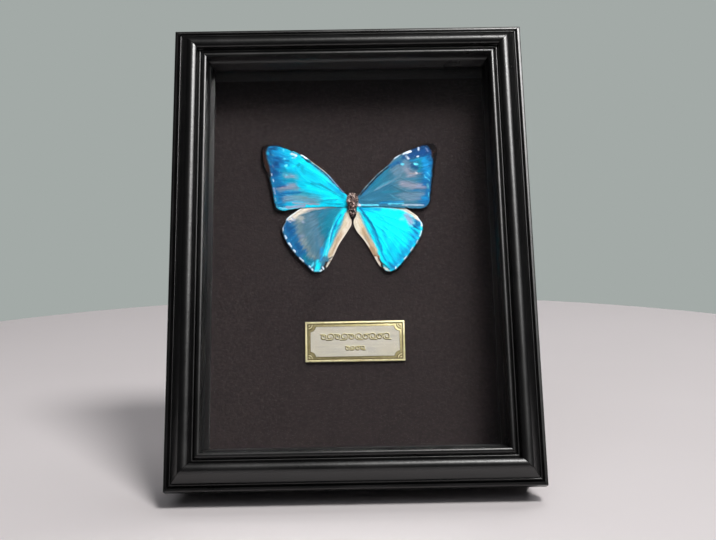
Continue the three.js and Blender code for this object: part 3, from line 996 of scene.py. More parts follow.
FOREWING_RIGHT_STROKES = [
    # The slate ground, painted as the dull side of the wing's sheen, and the blue of the outer edge
    (SLATE_BLUE, 5, 6.5, 0.8, [(23, 42.6), (25, 36.6), (26, 29.7)]),
    (TEAL, 1.4, 3.9, 0.6, [(9, 34.2), (13, 38.3), (17, 41.8)]),
    (AZURE, 3.4, 4.4, 1.0, [(34, 54.9), (36.6, 48.9), (36.6, 42.9), (36, 34.9), (35, 26.9)]),
    (ROYAL, 2.6, 3.1, 0.9, [(27, 50.1), (31, 51.2), (36, 51.5)]),
    (ROYAL, 1.0, 2.1, 0.8, [(28, 44.7), (31, 43.4), (32.6, 45.4)]),
    (SKY, 1.4, 2.3, 0.95, [(34.2, 46.9), (35.4, 42.9), (36, 38.9)]),
    (SKY, 0.5, 1.3, 0.8, [(29, 47.1), (33, 47), (37, 45.9)]),
    (TEAL, 0.9, 1.6, 0.8, [(31.8, 47.4), (32.4, 44.8), (32.4, 41.8)]),
    # Rays from the root
    (GREY_BLUE, 1.8, 3.4, 0.85, [(20, 41.1), (22.6, 43), (26, 45.3)]),
    (AZURE, 0.9, 1.8, 0.85, [(16.6, 43.6), (20, 45.5), (23.4, 47)]),
    (ROYAL, 0.4, 1.2, 0.7, [(17.4, 43.6), (19.4, 44.3)]),
    (ROYAL, 0.5, 1.2, 0.8, [(22.6, 46.6), (23.4, 45.6)]),
    (AZURE, 0.6, 1.4, 0.6, [(5, 30.5), (9, 35.4), (15, 41.6)]),
    (STEEL_BLUE, 1.0, 1.8, 0.7, [(14, 39.2), (18, 40.1), (20, 38.9)]),
    (CYAN_GREY, 0.35, 0.7, 0.6, [(6.4, 33.2), (11, 38), (15.4, 42.6)]),
    (CYAN_GREY, 0.4, 0.7, 0.8, [(15.6, 43.3), (17, 44)]),
    # Greyed patches towards the margin
    (PINK_GREY, 1.1, 3.0, 0.8, [(25.8, 42.6), (27.4, 40.2), (31, 40)]),
    (PINK_GREY, 1.2, 3.2, 0.85, [(23.8, 35.3), (27.9, 34.3), (32.6, 33.2)]),
    (LILAC, 0.6, 1.6, 0.7, [(30.6, 33.8), (33, 34)]),
    (BLUSH, 0.3, 0.8, 0.5, [(27.6, 40.3), (31, 40.2)]),
    (STEEL_BLUE, 0.8, 1.6, 0.8, [(31, 39.2), (33.8, 38.3)]),
    (STEEL_BLUE, 0.45, 1.3, 0.8, [(25, 37.4), (29, 37.7), (33, 36.8)]),
    (STEEL_BLUE, 0.5, 1.3, 0.8, [(22, 31.4), (28, 31.5), (34.6, 31.5)]),
    (AZURE, 0.3, 0.8, 0.7, [(28, 31.7), (34, 31.9)]),
    (GREY_BLUE, 1.3, 2.1, 0.9, [(23, 29.2), (28, 29.3), (32.4, 29.2)]),
    (LILAC, 0.4, 1.2, 0.5, [(26, 27.3), (31, 27.4)]),
    (SKY, 0.9, 1.6, 0.9, [(32.8, 28), (34.6, 27.9)]),
    (AZURE, 0.5, 0.8, 0.8, [(35.4, 31.9), (35.6, 28.9)]),
    # Fine rays of the lower half
    (CYAN_GREY, 0.25, 0.6, 0.7, [(18, 29.9), (20.4, 28.1), (23, 27.2)]),
    (TEAL, 0.4, 1.2, 0.5, [(14, 31), (19, 31.5), (23, 31.2)]),
    (CYAN_GREY, 0.5, 1.2, 0.6, [(12, 32.9), (16.4, 35.8), (19.4, 36.7)]),
    (GREY_BLUE, 0.28, 0.5, 0.9, [(10.6, 32.1), (16.4, 35.2), (20.4, 37.5), (22.8, 39), (24, 41.6),
                                 (25.6, 43.1)]),
    # The inner edge
    (SKY, 0.5, 1.2, 0.9, [(13, 25.8), (18, 26), (23, 26.1)]),
    (PALE_CYAN, 0.3, 0.6, 0.8, [(17, 25.3), (24, 25.2)]),
    (WHITE, 0.3, 0.6, 0.5, [(23.6, 24.5), (28, 24.5), (33.4, 24.3)]),
    (STEEL_BLUE, 0.18, 0.4, 0.7, [(25, 25.7), (33, 25.7)]),
    (PALE_CYAN, 0.35, 0.5, 1.0, [(3.4, 24.9), (8, 24.8), (12, 24.8)]),
    (DEEP_TEAL, 0.2, 0.35, 0.5, [(11, 24.1), (17, 23.8), (23.5, 23.3)]),
    # The leading edge
    (BLACK, 0.36, 0.35, 0.95, [(3.6, 29.8), (8, 34.7), (12.4, 39.5), (17.4, 44)]),
    (CREAM, 0.24, 0.25, 0.9, [(2.8, 30), (6, 34), (12.1, 40.5), (16.6, 44.4)]),
    (STONE, 0.25, 0.4, 0.8, [(16, 44), (18, 45.6), (20, 47.6)]),
    (BLACK, 0.5, 0.4, 1.0, [(23.4, 50.4), (26, 51.8), (28.3, 52.8), (31, 53.8)]),
    # The dark apex and outer margin
    (NAVY, 1.0, 1.3, 0.95, [(30, 54), (33, 54.8), (36.8, 55)]),
    (BROWN_BLACK, 2.0, 1.6, 1.0, [(38.6, 56.4), (39.8, 52.6), (39.8, 49)]),
    (BLACK, 1.6, 1.4, 1.0, [(38.8, 53), (37, 55.6), (32, 56.4)]),
    (BLACK, 1.2, 1.2, 1.0, [(40, 49.6), (39.5, 45), (38.9, 41)]),
    (BLACK, 0.65, 0.9, 1.0, [(38.9, 42), (38.1, 37), (37.4, 31), (36.9, 28)]),
    (BLACK, 0.5, 0.5, 1.0, [(37, 29), (36.3, 24.8), (34, 22.6), (29.7, 22.2), (25, 22.8)]),
    # Pale spots
    (WHITE, 0.55, 0.3, 1.0, [(20.3, 48.5), (22, 49.7), (23.4, 51)]),
    (WHITE, 0.45, 0.6, 0.9, [(24.8, 50.4), (26.6, 50.9)]),
    (WHITE, 0.55, 0.5, 1.0, [(26.4, 51), (28, 51.5)]),
    (WHITE, 0.35, 0.7, 0.8, [(25.9, 49.3), (27.1, 47.8)]),
    (GREY_BLUE, 0.4, 0.6, 0.8, [(26.2, 50.3), (26, 48.7)]),
    (WHITE, 0.32, 0.4, 1.0, [(31.9, 52.3), (32, 53.6)]),
    (WHITE, 0.35, 0.4, 1.0, [(31.2, 48.9), (31.8, 48.9)]),
    (PALE_CYAN, 0.5, 0.6, 0.95, [(29.9, 45.1), (31, 45)]),
    (WHITE, 0.3, 0.6, 0.7, [(30.2, 40.6), (30.8, 40.4)]),
    (PALE_CYAN, 0.45, 0.6, 0.95, [(23.6, 45.2), (24.4, 45)]),
    (PALE_CYAN, 0.14, 0.35, 0.8, [(34.2, 39.1), (35.6, 37.5), (36.8, 36.7)]),
    (PALE_CYAN, 0.14, 0.35, 0.7, [(35.8, 40.5), (36.6, 39.3)]),
    (CYAN_GREY, 0.5, 0.7, 0.8, [(35.7, 34.5), (35.9, 32.7)]),
    (PALE_CYAN, 0.2, 0.5, 0.7, [(36, 30.4), (36, 28.6)]),
    (LILAC, 0.25, 0.5, 0.7, [(35.6, 53.3), (36.4, 51.5)]),
    (WHITE, 0.6, 0.4, 1.0, [(2.4, 25.3), (3.2, 25)]),
]
HINDWING_LEFT_STROKES = [
    # The slate ground, painted as the dull side of the wing's sheen, and the blue of the outer half
    (SLATE_BLUE, 6, 6.5, 0.9, [(22, 17.6), (20, 9.5), (18, 2.5)]),
    (STONE, 1.6, 3.9, 0.6, [(25.6, 17.7), (25.4, 12.6), (23.4, 6.6)]),
    (GREY_BLUE, 1.6, 3.9, 0.5, [(20, 19.5), (17.6, 12.4), (15.6, 5.4)]),
    (TEAL, 2.6, 4.7, 0.75, [(8, 22.6), (10.6, 18.3), (12.6, 12.3)]),
    (TEAL, 0.6, 1.6, 0.5, [(14, 21.8), (15.6, 18.4), (15, 15.4)]),
    (AZURE, 3.0, 4.4, 0.85, [(30.6, 15.2), (29, 9.7), (25.4, 3.2), (21.6, -1.6)]),
    (ROYAL, 1.3, 2.6, 0.55, [(30.6, 14.8), (29, 12.1)]),
    (ROYAL, 0.7, 1.6, 0.6, [(26.6, 5.7), (24.6, 2.2)]),
    (TEAL, 1.6, 2.3, 0.8, [(22, -0.4), (19.4, -2.9)]),
    (DEEP_TEAL, 0.6, 1.6, 0.6, [(21.4, -1.3), (19.6, -2.5)]),
    # Greyed patches
    (LILAC, 0.5, 0.8, 0.7, [(23.6, 17.2), (23.2, 16.6)]),
    (LILAC, 0.9, 2.1, 0.6, [(24.2, 9.6), (23.6, 7)]),
    (STONE, 1.2, 2.6, 0.8, [(24, 8), (22, 4.6), (19.6, 0.4)]),
    (CREAM, 1.0, 2.6, 0.45, [(26.4, 19.6), (24, 18.6)]),
    (STONE, 0.5, 1.3, 0.9, [(18.6, -0.1), (18, -0.9)]),
    (STEEL_BLUE, 0.6, 1.6, 0.6, [(18, 14.5), (17, 7.4), (16.6, 2.4)]),
    # The cream leading edge
    (CREAM, 0.6, 1.7, 0.8, [(8, 24.9), (14, 24.4), (20, 23), (25, 21), (28.6, 18.4)]),
    (CREAM, 1.5, 1.6, 0.95, [(14, 25.4), (21, 24.4), (26.4, 21.8), (29.6, 19.4)]),
    (PINK_GREY, 0.3, 0.6, 0.7, [(13, 24), (18, 23.4), (21, 22.5)]),
    (DEEP_TEAL, 0.3, 0.7, 0.6, [(14, 23), (18, 22.4), (20, 21.9)]),
    (WHITE, 0.25, 0.4, 0.9, [(24, 24), (28, 21.2), (31.6, 17.9)]),
    (WHITE, 0.4, 0.5, 0.95, [(31.8, 17.4), (33, 15), (33, 13)]),
    (WHITE, 0.14, 0.3, 0.8, [(30, 19.8), (27.4, 17.7)]),
    (WHITE, 0.14, 0.3, 0.7, [(31, 18.4), (29.4, 16.9)]),
    (LILAC, 0.3, 0.6, 0.8, [(28.6, 19.3), (27.2, 17.9)]),
    # The bright ray along the inner fold
    (BRIGHT_CYAN, 1.4, 1.8, 0.8, [(4, 22.5), (7.4, 16.6), (10.2, 9.3), (12.8, 1.7)]),
    (BRIGHT_CYAN, 0.8, 0.8, 1.0, [(3.6, 22.9), (5.4, 19.7), (7.2, 16.2)]),
    (SKY, 0.4, 0.6, 0.9, [(5.6, 20.3), (8, 16), (9.6, 12.2), (10.8, 7.3)]),
    (AZURE, 0.5, 1.2, 0.7, [(7.6, 16.2), (8.4, 13.8)]),
    (AZURE, 0.35, 0.7, 0.7, [(11.8, 12.9), (12.6, 8.3), (14.2, 2)]),
    (PALE_CYAN, 0.22, 0.45, 0.9, [(9.6, 14.8), (11, 8.9), (12, 3.9), (13.2, 0.5)]),
    (TEAL, 0.5, 1.2, 0.8, [(11, 13.5), (12.8, 8.3), (14.6, 2.4)]),
    (SKY, 0.8, 1.6, 0.8, [(15, 3.4), (14.8, -1)]),
    (BRIGHT_CYAN, 1.1, 1.7, 1.0, [(16.4, -3.2), (16.8, -5.6)]),
    (PALE_CYAN, 0.3, 0.6, 0.8, [(18.6, -3.1), (19.6, -4.7)]),
    (PALE_CYAN, 0.3, 0.6, 0.8, [(16, -6.9), (17.8, -7)]),
    # The beige inner edge
    (CYAN_GREY, 0.7, 1.3, 0.9, [(3.6, 19.1), (6, 14.6), (8.4, 9.2), (11.6, 0.3)]),
    (BEIGE, 2.3, 1.3, 1.0, [(1.4, 20), (3, 14.6), (6.2, 8), (9.4, 1)]),
    (BLUSH, 0.7, 1.8, 0.8, [(5, 11.7), (7.4, 6.6), (9, 3.2)]),
    (TAN, 0.4, 1.2, 0.8, [(7, 9.2), (9, 3.8), (10.8, 0.9)]),
    (CREAM, 1.1, 1.8, 0.9, [(2.2, 20.1), (2.6, 15.7), (4, 12.1)]),
    (CREAM, 0.45, 0.5, 1.0, [(0.9, 18), (1, 15.4), (3.4, 11.3), (7, 5.6), (9.6, -0.2)]),
    (BEIGE, 0.5, 0.8, 0.6, [(3.6, 17.1), (3.4, 14.1)]),
    # The dark inner corner
    (BROWN_BLACK, 0.55, 0.6, 1.0, [(12.6, -3), (13.6, -5.4), (13, -7.2)]),
    (BROWN_BLACK, 0.2, 0.35, 0.9, [(9.6, -0.3), (11.8, -1.2)]),
    (RUST, 0.7, 0.6, 0.8, [(12.6, -5.6), (12.4, -6.6)]),
    (BROWN_BLACK, 0.6, 0.6, 1.0, [(13.4, -5.2), (15.2, -7.2)]),
    (CREAM, 0.75, 0.4, 1.0, [(9.9, -1.5), (11.2, -3.1), (12.1, -4.8)]),
    (RUST, 0.18, 0.3, 0.8, [(10.4, -2), (11.4, -2.4)]),
    # The black margin and its white spots
    (BLACK, 0.45, 0.4, 1.0, [(31.6, 18), (33.4, 14), (32.9, 10.6), (30.5, 5.6), (26.9, 0.7),
                             (22.7, -3.8), (19.2, -7.4), (16.2, -8), (14.4, -7.4)]),
    (WHITE, 0.28, 0.3, 0.8, [(31.9, 10.5), (31.1, 9.0)]),
    (WHITE, 0.34, 0.3, 1.0, [(30.0, 6.5), (28.8, 4.9)]),
    (WHITE, 0.32, 0.3, 1.0, [(27.9, 3.3), (27.2, 2.3)]),
    (WHITE, 0.3, 0.3, 1.0, [(25.1, -0.7), (23.4, -2.3)]),
    (WHITE, 0.3, 0.3, 1.0, [(20.7, -4.7), (20.3, -5.1)]),
    (WHITE, 0.26, 0.3, 1.0, [(19.3, -6.2), (19.0, -6.7)]),
    (WHITE, 0.25, 0.3, 1.0, [(15.6, -7.1), (14.9, -6.7)]),
    (WHITE, 0.3, 0.3, 1.0, [(14.3, -5.4), (13.9, -6.3)]),
]
HINDWING_RIGHT_STROKES = [
    # The bright ground, painted as the lit side of the wing's sheen, and its bluer edge
    (AQUA, 3, 6.5, 0.9, [(27, 9.7), (22, 2.6), (17, -3.6)]),
    (CYAN, 1.4, 3.9, 0.7, [(19, 6.5), (15.6, -0.6)]),
    (SKY, 1.6, 2.9, 0.85, [(31, 12.8), (29, 7.7), (25, 2), (21.4, -2.7), (18, -5.5)]),
    (AZURE, 1.3, 2.1, 0.95, [(30, 17.4), (31.4, 14.2), (29.6, 13.2)]),
    (ROYAL, 0.6, 1.6, 0.7, [(30.4, 15.4), (29, 13.7)]),
    (AZURE, 0.4, 0.8, 0.8, [(27.4, 13.1), (30, 10.4)]),
    (AZURE, 0.3, 0.7, 0.7, [(25.8, 11.7), (28.4, 8.7)]),
    (BRIGHT_CYAN, 0.3, 0.7, 0.8, [(28, 13.1), (31, 11.6)]),
    # Darker rays
    (SKY, 0.9, 1.8, 0.8, [(4, 23.3), (8, 22.8), (13, 22.9)]),
    (SKY, 0.5, 1.3, 0.6, [(14, 12.4), (15.6, 6.4), (19, -1.5)]),
    (SKY, 0.4, 1.2, 0.5, [(22, 4.6), (23, 0.6)]),
    (TEAL, 0.8, 1.6, 0.8, [(5, 20.5), (8, 16.2), (9.6, 11.6)]),
    (AZURE, 0.5, 0.8, 0.85, [(3.4, 23.5), (6, 19.6), (9.4, 14.2), (11.4, 8.3), (13.4, 2.3)]),
    (SKY, 0.6, 1.3, 0.7, [(9.6, 12.2), (12, 4.3), (15, -2.6)]),
    (AZURE, 0.7, 1.6, 0.8, [(16.6, -3.6), (18, -5.5)]),
    (CYAN_GREY, 0.5, 0.8, 0.9, [(3.4, 20.7), (5, 16.5), (7.6, 10.2), (11, 1.3)]),
    (PALE_CYAN, 0.22, 0.45, 0.8, [(3.4, 19.9), (5.2, 15.7)]),
    # The pale leading edge
    (LILAC, 1.3, 2.1, 0.95, [(25.6, 19.3), (27, 17.3), (27.8, 15.5)]),
    (PALE_CYAN, 0.6, 1.3, 0.8, [(22.6, 17.8), (23.6, 17.6)]),
    (TEAL, 0.5, 0.8, 0.7, [(28.4, 18.3), (29.8, 18)]),
    (PALE_CYAN, 0.5, 1.2, 0.8, [(9, 24.1), (15, 23.6), (21, 22.5)]),
    (WHITE, 0.7, 0.6, 1.0, [(8, 24.9), (14, 24.5), (20, 23.5)]),
    (CYAN_GREY, 0.6, 0.8, 0.9, [(3, 25), (9, 25.2)]),
    (CREAM, 0.9, 1.2, 1.0, [(20, 24.4), (24, 22.8), (28, 20.4), (30.8, 17.8)]),
    (BLUSH, 0.25, 0.6, 0.6, [(20, 23.4), (25, 21.6), (29, 19.4)]),
    (WHITE, 0.4, 0.5, 0.9, [(30.8, 18), (32.2, 15.8), (32.4, 14)]),
    # The beige inner edge
    (BEIGE, 2.1, 1.3, 1.0, [(1.2, 20), (3, 14.6), (6, 8.2), (9.2, 2)]),
    (TAN, 0.8, 1.8, 0.9, [(4.6, 12.7), (6.6, 8.2), (8.6, 3.8)]),
    (STONE, 0.3, 0.8, 0.6, [(5.4, 9.4), (7.4, 4.4), (8.8, 1.4)]),
    (CREAM, 1.0, 1.8, 0.9, [(1.6, 19.6), (1.8, 16), (2.8, 13)]),
    (CREAM, 0.45, 0.5, 1.0, [(0.7, 18), (0.6, 15.4), (2.2, 12), (6, 6.4), (9.8, 0.4)]),
    # The dark inner corner
    (TAN, 1.1, 0.7, 1.0, [(8.4, 3.4), (10, 0.6), (11.2, -1)]),
    (BROWN_BLACK, 0.5, 0.5, 1.0, [(11.6, -1.6), (13, -4.4), (14, -7.4)]),
    (RUST, 0.35, 0.5, 0.9, [(9.8, -0.2), (11.6, -0.8)]),
    (CREAM, 0.75, 0.35, 1.0, [(10.4, -1.2), (11.3, -3), (12.2, -4.9)]),
    (RUST, 0.2, 0.3, 0.8, [(11, -2.2), (11.8, -2.6)]),
    (BROWN_BLACK, 0.5, 0.4, 1.0, [(13.1, -4.4), (13.3, -6.8)]),
    (BROWN_BLACK, 0.3, 0.4, 0.9, [(12.2, -2.6), (14.2, -4.6), (16.4, -6.6)]),
    # The black margin and its pale spots
    (BLACK, 0.5, 0.4, 1.0, [(31, 18.6), (32.9, 15.4), (32.9, 12.3), (31.2, 7.7), (28, 2.7),
                            (24.4, -2.2), (20.4, -6.6), (17.5, -8.2), (15.9, -8.2)]),
    (CREAM, 0.4, 0.3, 1.0, [(14.3, -5.9), (15, -7)]),
    (CREAM, 0.3, 0.3, 1.0, [(15.3, -6.7), (16.6, -7.7)]),
    (WHITE, 0.35, 0.5, 0.9, [(32.3, 11.4), (31.4, 9)]),
    (WHITE, 0.32, 0.3, 1.0, [(30.0, 6.7), (29.5, 5.7)]),
    (WHITE, 0.3, 0.3, 1.0, [(27.7, 3.4), (26.8, 2.0)]),
    (WHITE, 0.3, 0.3, 1.0, [(24.8, -0.9), (23.7, -2.1)]),
    (PALE_CYAN, 0.3, 0.3, 1.0, [(21.1, -4.6), (20.6, -4.9)]),
    (WHITE, 0.25, 0.3, 1.0, [(19.6, -5.9), (19.4, -6.5)]),
]

# The wings' grid, skin, rise from the root and ripples, in millimetres but for the radians
WING_SPANS = 150
WING_CHORDS = 120
WING_SIZE = 1.006
WING_SKIN = 0.14
WING_RISE = math.radians(0.5)
WING_ROOT = (2, 26)
# The black rim's width: partly the wing's dark edge, partly a painted shadow along the margin
RIM_WIDTH = 0.4
VEIN_WIDTH = 0.26
VEIN_HEIGHT = 0.03
VEIN_SHADE = 0.08
FOLD_REACH = 2.2
FOLD_DEPTH = 0.05
CAMBER_ROOT = 0.25
CAMBER_GAIN = 0.35
CAMBER_HEIGHT = 0.35
RIPPLE_LENGTH = 9
RIPPLE_HEIGHT = 0.1

# Strokes softer than this end in fringes; curves are cut into so many steps a point; a length
# is never taken as less than TINY
SOFT_STROKE = 0.85
OUTLINE_STEPS = 12
STROKE_STEPS = 5
TINY = 1e-9

# How the brush's edge wanders, as (size, amount), and the fringes along the rays, as
# (pace across the rays, length along them, amount), with the reach where they are full
WANDER_COARSE = (1.6, 0.3)
WANDER_FINE = (0.6, 0.2)
WANDER_HEIGHT = 0.55
WANDER_SEED = 3
FRINGES = ((26, 22, 1.7), (75, 12, 1.1))
FRINGE_REACH = 14


def blend(first, last, low, high, at):
    share = (at - low) / (high - low)
    return first * (1 - share) + last * share


def curve_through(points, closed, steps):
    """Places on a smooth line through the points, with centripetal spacing."""
    points = np.array(points, float)
    if closed:
        padded = np.concatenate([points[-1:], points, points[:2]])
    else:
        first = 2 * points[:1] - points[1:2]
        last = 2 * points[-1:] - points[-2:-1]
        padded = np.concatenate([first, points, last])
    places = []
    for i in range(len(padded) - 3):
        a, b, c, d = padded[i : i + 4]
        at_b = max(np.linalg.norm(b - a) ** 0.5, TINY)
        at_c = at_b + max(np.linalg.norm(c - b) ** 0.5, TINY)
        at_d = at_c + max(np.linalg.norm(d - c) ** 0.5, TINY)
        for at in np.linspace(at_b, at_c, steps, endpoint=False):
            ab = blend(a, b, 0, at_b, at)
            bc = blend(b, c, at_b, at_c, at)
            cd = blend(c, d, at_c, at_d, at)
            abc = blend(ab, bc, 0, at_c, at)
            bcd = blend(bc, cd, at_b, at_d, at)
            places.append(blend(abc, bcd, at_b, at_c, at))
    if not closed:
        places.append(points[-1])
    return np.array(places)


def spread(line, shares):
    """Places at shares of the line's length."""
    steps = np.linalg.norm(np.diff(line, axis=0), axis=1)
    along = np.concatenate([[0], np.cumsum(steps)]) / steps.sum()
    return np.stack([np.interp(shares, along, line[:, axis]) for axis in (0, 1)], 1)


def outline_sides(outline):
    """The wing's three sides as even lines, out of one smooth closed outline."""
    front, margin, back = outline["front"], outline["margin"], outline["back"]
    places = curve_through(front + margin[1:] + back[1:], True, OUTLINE_STEPS)
    first = (len(front) - 1) * OUTLINE_STEPS
    second = first + (len(margin) - 1) * OUTLINE_STEPS
    third = second + (len(back) - 1) * OUTLINE_STEPS
    return places[: first + 1], places[first : second + 1], places[second : third + 1]


def distance_to(places, path):
    """How far each place is from a line through the points."""
    nearest = np.full(len(places), np.inf)
    path = np.array(path, float)
    if len(path) > 2:
        path = curve_through(path, False, STROKE_STEPS)
    for start, end in zip(path, path[1:]):
        span = end - start
        share = np.clip((places - start) @ span / max(span @ span, TINY), 0, 1)
        gap = np.linalg.norm(places - start - share[:, None] * span, axis=1)
        nearest = np.minimum(nearest, gap)
    return nearest


def wandering(places, seed, size, amount):
    """The places moved about a little by noise, so that brush edges aren't clean."""
    moved = places.copy()
    for i, (out, up) in enumerate(places):
        shift = noise.noise_vector(Vector((out / size, up / (size * WANDER_HEIGHT), seed)))
        moved[i] += (shift.x * amount, shift.y * amount)
    return moved


def fringed(places, seed):
    """The places drawn out along the rays from the root, so that patches end in fringes."""
    from_root = places - np.array(WING_ROOT)
    reach = np.linalg.norm(from_root, axis=1)
    angle = np.arctan2(from_root[:, 1], from_root[:, 0])
    moved = places.copy()
    for i in range(len(places)):
        step = 0
        for layer, (pace, length, amount) in enumerate(FRINGES):
            spot = Vector((angle[i] * pace, reach[i] / length, seed + 9 * layer))
            step += noise.noise(spot) * amount
        share = min(reach[i] / FRINGE_REACH, 1)
        moved[i] += from_root[i] / max(reach[i], TINY) * step * share
    return moved


def brush(colours, places, stroke):
    """Lays one stroke over the colours, with edges as wide as it is soft."""
    tint, half_width, softness, strength, path = stroke
    reach = (half_width + softness / 2 - distance_to(places, path)) / softness
    share = np.clip(reach, 0, 1)
    share = (share * share * (3 - 2 * share) * strength)[:, None]
    colours[:] = colours * (1 - share) + np.array(tint) * share


def paint_wing(places, from_margin, base, strokes, seed):
    """The vertices' colours: a base, the strokes over it and the black rim, which is partly the wing's
    dark edge and partly a painted shadow along its margin.
    """
    colours = np.tile(np.array(base, float), (len(places), 1))
    crisp = wandering(places, seed, *WANDER_COARSE)
    crisp = wandering(crisp, seed + 3, *WANDER_FINE)
    loose = fringed(crisp, seed)
    for stroke in strokes:
        soft = stroke[2] > SOFT_STROKE and stroke[0] not in (BLACK, BROWN_BLACK)
        brush(colours, loose if soft else crisp, stroke)
    # Painted shadow: the black rim, partly the wing's own dark edge, also stands in for the shadow the
    # margin casts on the felt
    rim = np.clip((RIM_WIDTH - from_margin) / RIM_WIDTH * 2, 0, 1)[:, None]
    return colours * (1 - rim) + np.array(BLACK) * rim


def wing_grid(name):
    """A flat grid, and each vertex's share of the way out (u) and of the way back (v)."""
    wing = begin(
        name,
        bpy.ops.mesh.primitive_grid_add,
        x_subdivisions=WING_SPANS,
        y_subdivisions=WING_CHORDS,
        size=1,
    )
    flat = np.empty(len(wing.data.vertices) * 3)
    wing.data.vertices.foreach_get("co", flat)
    flat = flat.reshape(-1, 3)
    return wing, flat[:, 0] + 0.5, flat[:, 1] + 0.5


def lay_between_sides(outline, u, v):
    """The places of the grid's vertices between the root and the wing's three sides."""
    front, margin, back = outline_sides(outline)
    back = back[::-1]
    uu, vv = u[:, None], v[:, None]
    across_root = front[0] + (back[0] - front[0]) * vv
    corners = (
        (1 - uu) * (1 - vv) * front[0] + uu * (1 - vv) * margin[0]
        + (1 - uu) * vv * back[0] + uu * vv * margin[-1]
    )
    return (
        (1 - vv) * spread(front, u) + vv * spread(back, u) + (1 - uu) * across_root
        + uu * spread(margin, v) - corners
    )


def push_rim(places, from_margin):
    """The places near the outer margin, moved out by up to the rim's width, so that the black rim with
    its painted shadow reaches past the margin.
    """
    away = places - np.array(WING_ROOT)
    away /= np.linalg.norm(away, axis=1)[:, None]
    return places + away * (RIM_WIDTH * np.clip(1 - from_margin / RIM_WIDTH, 0, 1))[:, None]


def wing_relief(places, u, v, ridge, from_vein, seed):
    """How far the skin stands forward: its camber, its veins, the folds between and ripples."""
    arch = np.sin(np.pi * v)
    relief = CAMBER_HEIGHT * (arch * (CAMBER_ROOT + CAMBER_GAIN * u)) + VEIN_HEIGHT * ridge
    relief -= FOLD_DEPTH * np.clip(from_vein / FOLD_REACH, 0, 1) * arch ** 0.5
    ripples = [
        noise.noise(Vector((out / RIPPLE_LENGTH, up / RIPPLE_LENGTH, seed + 7)))
        for out, up in places
    ]
    return relief + RIPPLE_HEIGHT * np.array(ripples)


def make_wing(name, outline, veins, side, depth, base, strokes, seed):
    """A wing of thin skin over its veins, painted vertex by vertex."""
    wing, u, v = wing_grid(name)
    places = lay_between_sides(outline, u, v)
    from_margin = distance_to(places, outline["margin"])
    from_vein = np.min([distance_to(places, vein) for vein in veins], axis=0)
    ridge = np.exp(-((from_vein / VEIN_WIDTH) ** 2))
    colours = paint_wing(places, from_margin, base, strokes, seed)
    colours[:, :3] *= (1 - VEIN_SHADE * ridge)[:, None]
    paint_points(wing, colours)

    laid = push_rim(places, from_margin)
    relief = wing_relief(places, u, v, ridge, from_vein, seed)
    solid = np.stack([
        SPECIMEN_X + side * laid[:, 0] * WING_SIZE,
        depth - laid[:, 0] * math.sin(WING_RISE) - relief,
        SPECIMEN_HEIGHT + laid[:, 1] * WING_SIZE,
    ], 1) * MM
    wing.data.vertices.foreach_set("co", solid.ravel())
    wing.data.update()
    face_outwards(wing)
    apply_modifier(wing, "SOLIDIFY", thickness=WING_SKIN * MM, offset=0)
    smooth_all(wing)
    lean_back(wing)
    return wing


def make_wings():
    scales = wing_scales()
    noise.seed_set(WANDER_SEED)
    fore = (FOREWING_VEINS, FOREWING_DEPTH)
    hind = (HINDWING_VEINS, HINDWING_DEPTH)
    # Painted sheen: the left forewing and the right hindwing are painted bright cyan and the other two
    # slate blue. This is the wings' blue as it caught the light at their different slants, laid into the
    # base colours and strokes, so blue_wing and pale_blue_wing name the lit and the dull side of one
    # sheen
    wings = [
        ("forewing_left", -1, fore, FOREWING_LEFT, CYAN, FOREWING_LEFT_STROKES, "blue_wing"),
        ("forewing_right", 1, fore, FOREWING_RIGHT, STEEL_BLUE, FOREWING_RIGHT_STROKES, "pale_blue_wing"),
        ("hindwing_left", -1, hind, HINDWING_LEFT, STEEL_BLUE, HINDWING_LEFT_STROKES, "pale_blue_wing"),
        ("hindwing_right", 1, hind, HINDWING_RIGHT, BRIGHT_CYAN, HINDWING_RIGHT_STROKES, "blue_wing"),
    ]
    for seed, (name, side, (veins, depth), outline, base, strokes, slot) in enumerate(wings, 1):
        wing = make_wing(name, outline, veins, side, depth, base, strokes, seed)
        cover(wing, scales)
        dress(wing, "frame", slot, name)


# ---------------------------------------------------------------- head and thorax

# The half outline as [distance from the axis, height], from the tail end up
BODY_PROFILE = [
    (0, 19.5), (0.3, 19.8), (0.7, 20.9), (1.1, 22.2), (1.5, 23.8), (1.9, 25.4), (2.2, 26.8),
    (2.2, 28), (2, 29), (1.6, 29.7), (1.2, 30.1), (0.6, 30.4), (0, 30.5),
]
BEFORE_PROFILE = (-0.3, 19.8)
AFTER_PROFILE = (-0.6, 30.4)
PROFILE_STEPS = 4
BODY_FLATNESS = 0.9
LUMPS = ((0.9, 0.45), (4, 0.12))
SKIN_TINT = colour(38, 24, 22)

# Kinds of hair as (count, thicknesses, lengths, shares of the tints), how a hair's middle is
# placed and how thick it is there, and the middle and spread of its lean from the skin
HAIR_TINTS = (colour(12, 7, 7), colour(74, 36, 32), colour(176, 138, 130), colour(232, 206, 198))
TUFTS = (420, (0.18, 0.32), (0.5, 0.9), (6, 2, 2.8, 2))
HAIRS = (520, (0.03, 0.06), (0.8, 1.5), (6, 3, 2, 1))
HAIR_DROOP = (0, 0.25, -0.3)
HAIR_MIDDLE = (0.5, 0.8)
HAIR_SWEEP = ((0, 0.8), (0, 0.4), (-0.2, 0.8))
HAIR_CORNERS = 7
HAIR_SEED = 5
BACK_OF_BODY = 0.35


